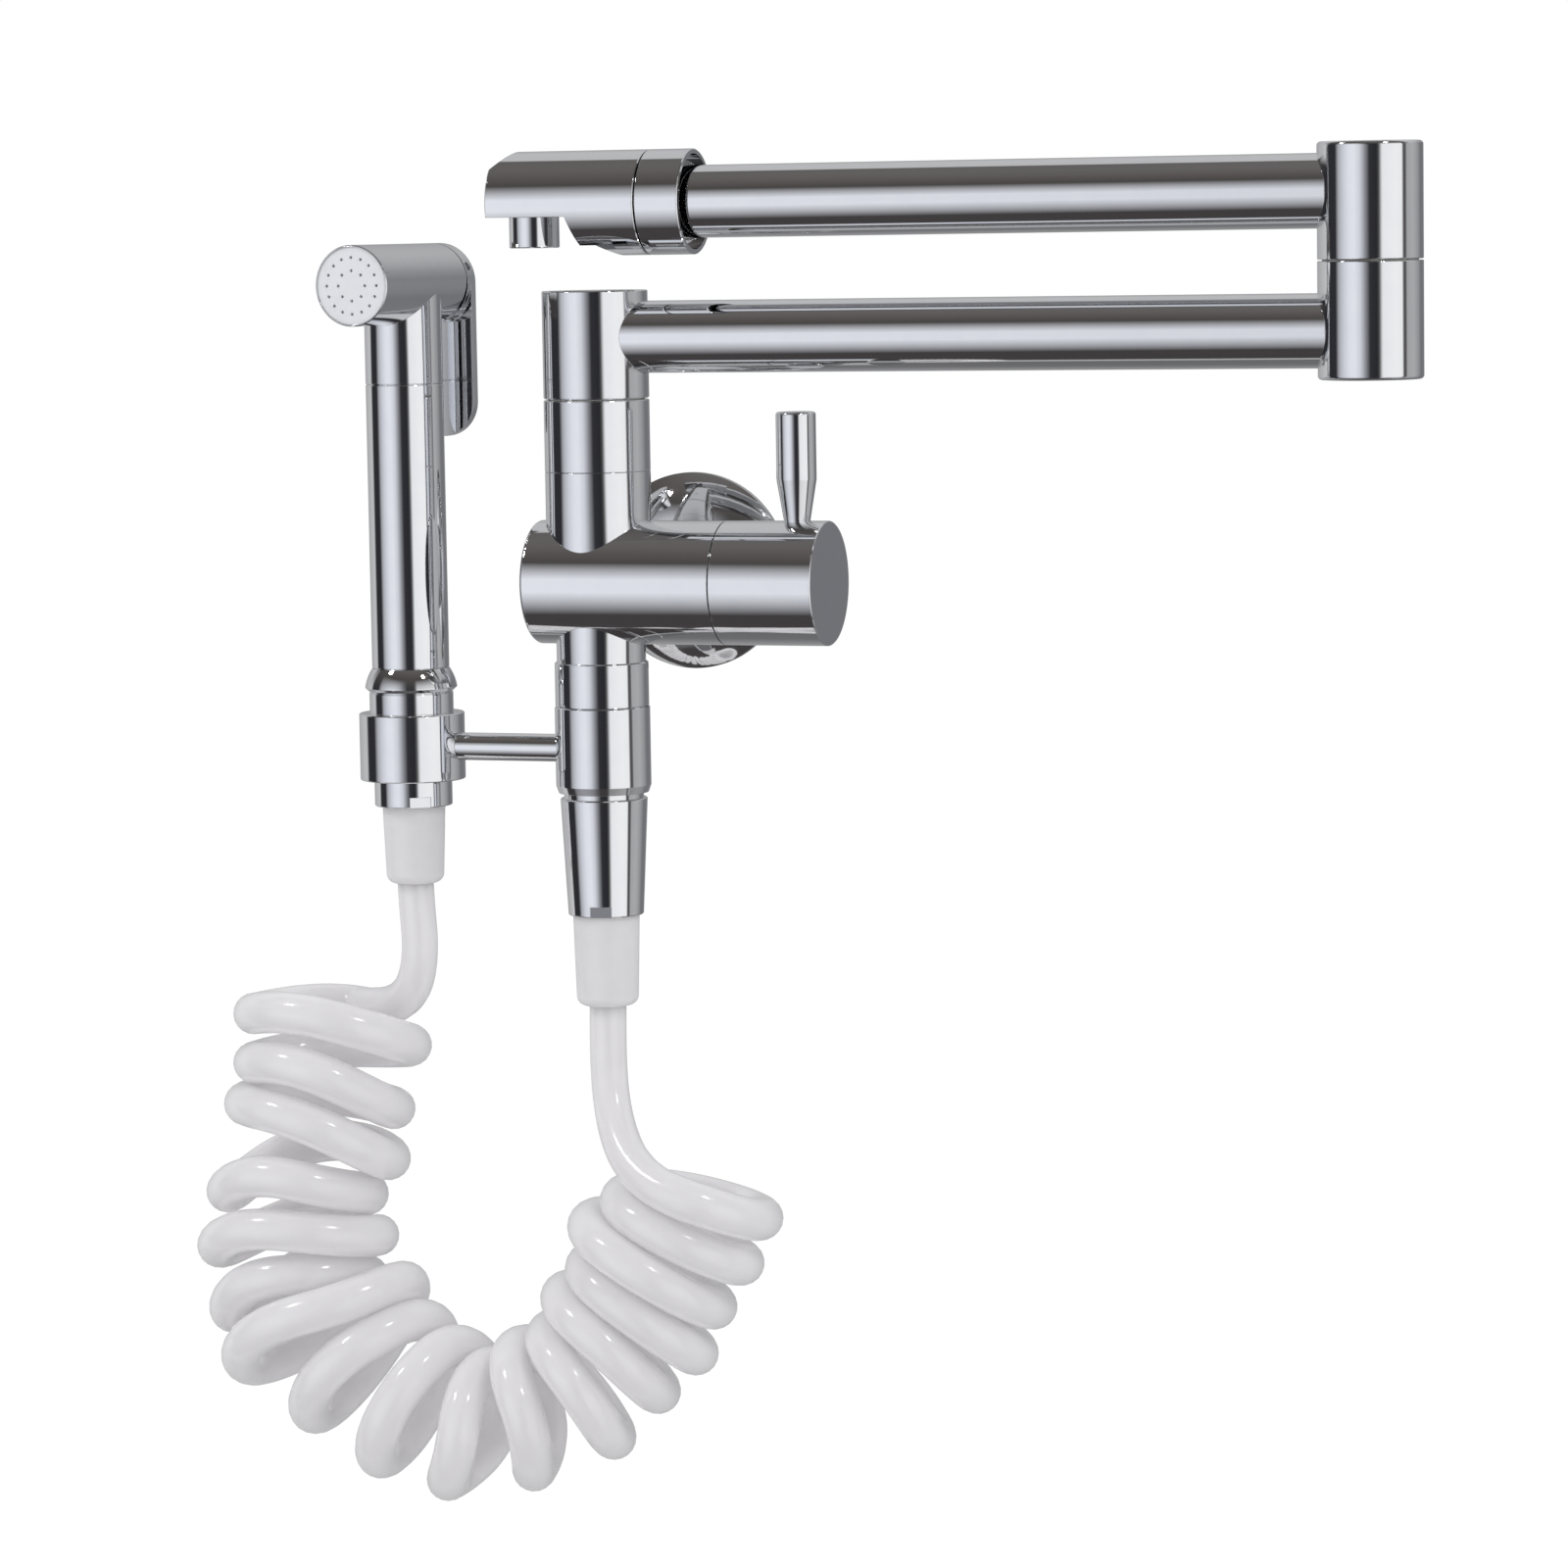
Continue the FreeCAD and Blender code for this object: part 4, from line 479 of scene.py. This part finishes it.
metalLooks = {
    "turned brass": {"colour": (0.72, 0.58, 0.30), "dark": (0.60, 0.46, 0.22), "roughness": (0.22, 0.4)},
    "steel": {"colour": (0.62, 0.63, 0.64), "dark": (0.50, 0.51, 0.52), "roughness": (0.25, 0.4)},
}

metalSkin = {
    "cloudScale": 240.0,
    "latheScale": 1800.0,
    "latheWander": 1.5,
    "latheDepth": 0.00001,
    "darkFrom": 0.8,
}


def metalMaterial(name):
    look = metalLooks[name]
    material, tree, shader, spot = newMaterial(name)
    cloud = noise(tree, spot, metalSkin["cloudScale"], 3.0)
    marks = {"Vector": spot, "Scale": metalSkin["latheScale"], "Distortion": metalSkin["latheWander"]}
    lathe = addNode(tree, "ShaderNodeTexWave", marks, bands_direction="Z").outputs["Fac"]
    tint = tintBetween(tree, cloud, look["colour"], look["dark"], metalSkin["darkFrom"])
    tree.links.new(tint, shader.inputs["Base Color"])
    tree.links.new(spread(tree, cloud, *look["roughness"]), shader.inputs["Roughness"])
    tree.links.new(bump(tree, lathe, metalSkin["latheDepth"], 0.5), shader.inputs["Normal"])
    shader.inputs["Metallic"].default_value = 1
    return material


finishes = {
    "chrome": chromeMaterial(),
    "brass": metalMaterial("turned brass"),
    "steel": metalMaterial("steel"),
    "ceramic": plasticMaterial("ceramic"),
    "rubber": plasticMaterial("rubber"),
    "nylon": plasticMaterial("nylon"),
    "white_plastic": plasticMaterial("white plastic"),
    "milky_plastic": plasticMaterial("milky plastic"),
    "hose": hoseMaterial(),
}

makeHose(finishes["hose"])
print("hose made")

for part in frame["record"]["subparts"]:
    for slot in frame["nodes"][part["node"]].material_slots:
        slot.material = finishes[part["material_slot"]]
print("finishes set")


# studio: a white room with tall light panels and dark gaps, which the chrome shows

studio = {
    "floorGap": 0.06,
    "floorSize": 8.0,
    "floorTone": (0.88, 0.88, 0.88, 1),
    "floorSeen": (0.88, 1.06),  # share and strength of the white that the camera sees on it
    "room": 0.73,  # level of the even light
    "panels": [  # degrees round from the camera, to the right, and the colour there
        (-180, (0.34, 0.34, 0.35)),
        (-116, (0.60, 0.60, 0.61)),
        (-108, (0.03, 0.03, 0.035)),
        (-87, (0.03, 0.03, 0.035)),
        (-78, (0.46, 0.47, 0.50)),
        (-66, (0.69, 0.71, 0.77)),
        (-53, (0.85, 0.87, 0.93)),
        (-41, (0.88, 0.90, 0.96)),
        (-29, (0.72, 0.73, 0.79)),
        (-17, (0.28, 0.285, 0.31)),
        (-8, (0.035, 0.035, 0.04)),
        (8, (0.025, 0.025, 0.03)),
        (13, (0.10, 0.10, 0.10)),
        (20, (0.93, 0.93, 0.95)),
        (50, (1.00, 1.00, 1.01)),
        (66, (0.97, 0.97, 0.98)),
        (70, (0.10, 0.095, 0.10)),
        (76, (0.10, 0.095, 0.10)),
        (80, (0.42, 0.42, 0.43)),
        (100, (0.46, 0.46, 0.47)),
        (118, (0.34, 0.34, 0.35)),
        (132, (0.19, 0.19, 0.205)),
        (150, (0.19, 0.19, 0.205)),
        (180, (0.34, 0.34, 0.35)),
    ],
    "rise": (0.08, 0.40),  # where the panels give way to the ceiling, share of the way to straight up
    "overhead": [
        (0.43, (0.080, 0.074, 0.070)),
        (0.57, (0.108, 0.098, 0.094)),
        (0.71, (0.135, 0.125, 0.120)),
        (0.80, (0.145, 0.138, 0.134)),
        (1.00, (0.155, 0.150, 0.150)),
    ],
    "highBehind": (0.56, 0.56, 0.57),
    "behindFrom": (0.26, 0.32),  # how far the way leans to the wall
    "fall": (-0.16, -0.60),
    "below": [  # how far the way leans to the wall
        (0.00, (0.060, 0.055, 0.055)),
        (0.03, (0.50, 0.50, 0.50)),
        (0.08, (0.50, 0.50, 0.50)),
        (0.13, (0.16, 0.16, 0.165)),
        (0.60, (0.18, 0.18, 0.185)),
        (1.00, (0.26, 0.26, 0.265)),
    ],
    "lampAim": (0.03, -0.058, -0.05),
    "lamps": [  # azimuth from the camera, elevation, distance, size, power
        (-74, 45, 1.6, 0.2, 4.0),
        (40, 45, 1.8, 0.2, 4.0),
    ],
}


def degreeShare(angle):
    return (angle + 180) / 360


def plainLight(tree, colour, strength):
    return addNode(tree, "ShaderNodeBackground", {"Color": colour, "Strength": strength}).outputs[0]


def makeWorld():
    world = bpy.data.worlds.new("studio")
    bpy.context.scene.world = world
    world.use_nodes = True
    tree = world.node_tree
    tree.nodes.clear()
    way = addNode(tree, "ShaderNodeTexCoord").outputs["Generated"]
    split = addNode(tree, "ShaderNodeSeparateXYZ", {"Vector": way}).outputs

    def calc(operation, a, b=0.0):
        return addNode(tree, "ShaderNodeMath", {0: a, 1: b}, operation=operation).outputs[0]

    def mix(factor, a, b):
        made = tree.nodes.new("ShaderNodeMix")
        made.data_type = "RGBA"
        for socket, value in ((made.inputs[0], factor), (made.inputs[6], a), (made.inputs[7], b)):
            if isinstance(value, bpy.types.NodeSocket):
                tree.links.new(value, socket)
            else:
                socket.default_value = value
        return made.outputs[2]

    def mixShader(factor, a, b):
        made = tree.nodes.new("ShaderNodeMixShader")
        tree.links.new(factor, made.inputs[0])
        tree.links.new(a, made.inputs[1])
        tree.links.new(b, made.inputs[2])
        return made.outputs[0]

    toFront = calc("MULTIPLY", split["Y"], -1.0)
    azimuth = calc("ARCTAN2", split["X"], toFront)
    turned = calc("SUBTRACT", azimuth, math.radians(cameraView["azimuth"]) - math.pi)
    share = calc("FRACT", calc("DIVIDE", turned, 2 * math.pi))
    height = calc("DIVIDE", calc("ARCSINE", split["Z"]), math.pi / 2)
    panels = ramp(tree, share, [(degreeShare(a), c) for a, c in studio["panels"]])
    overhead = ramp(tree, height, studio["overhead"])
    below = ramp(tree, split["Y"], studio["below"])
    isBehind = spread(tree, split["Y"], 0.0, 1.0, *studio["behindFrom"])
    upper = mix(isBehind, overhead, (*studio["highBehind"], 1))
    seen = mix(spread(tree, height, 0.0, 1.0, *studio["rise"]), panels, upper)
    seen = mix(spread(tree, height, 0.0, 1.0, *studio["fall"]), seen, below)
    rays = addNode(tree, "ShaderNodeLightPath").outputs
    glossy = plainLight(tree, seen, 1.0)
    even = plainLight(tree, (1, 1, 1, 1), studio["room"])
    white = plainLight(tree, (1, 1, 1, 1), 1.0)
    shown = mixShader(rays["Is Glossy Ray"], even, glossy)
    shown = mixShader(rays["Is Camera Ray"], shown, white)
    shown = mixShader(rays["Is Transmission Ray"], shown, white)
    tree.links.new(shown, tree.nodes.new("ShaderNodeOutputWorld").inputs[0])


def makeFloor():
    low = min(corner[2] for corner in cadBox) - studio["floorGap"]
    half = studio["floorSize"] / 2
    mesh = bpy.data.meshes.new("floor")
    corners = [(-half, -half, low), (half, -half, low), (half, half, low), (-half, half, low)]
    mesh.from_pydata(corners, [], [(0, 1, 2, 3)])
    floor = bpy.data.objects.new("floor", mesh)
    bpy.context.collection.objects.link(floor)
    material = bpy.data.materials.new("pale floor")
    material.use_nodes = True
    tree = material.node_tree
    tree.nodes.clear()
    rays = addNode(tree, "ShaderNodeLightPath").outputs
    share, strength = studio["floorSeen"]
    matt = addNode(tree, "ShaderNodeBsdfDiffuse", {"Color": studio["floorTone"]}).outputs[0]
    bright = addNode(tree, "ShaderNodeEmission", {"Color": (1, 1, 1, 1), "Strength": strength}).outputs[0]
    seen = {0: rays["Is Camera Ray"], 1: share}
    amount = addNode(tree, "ShaderNodeMath", seen, operation="MULTIPLY").outputs[0]
    mixed = addNode(tree, "ShaderNodeMixShader", {0: amount, 1: matt, 2: bright}).outputs[0]
    tree.links.new(mixed, tree.nodes.new("ShaderNodeOutputMaterial").inputs[0])
    mesh.materials.append(material)
    floor.visible_glossy = False


def makeLamps():
    middle = Vector(studio["lampAim"])
    for number, (side, height, distance, size, power) in enumerate(studio["lamps"]):
        way = wayTo(math.radians(cameraView["azimuth"] + side), math.radians(height))
        light = bpy.data.lights.new(f"lamp{number}", "AREA")
        light.energy = power
        light.size = size
        lamp = bpy.data.objects.new(f"lamp{number}", light)
        lamp.location = middle + way * distance
        lamp.rotation_euler = way.to_track_quat("Z", "Y").to_euler()
        bpy.context.collection.objects.link(lamp)


makeWorld()
makeFloor()
makeLamps()
bpy.context.scene.view_settings.view_transform = "Standard"
print("studio set")
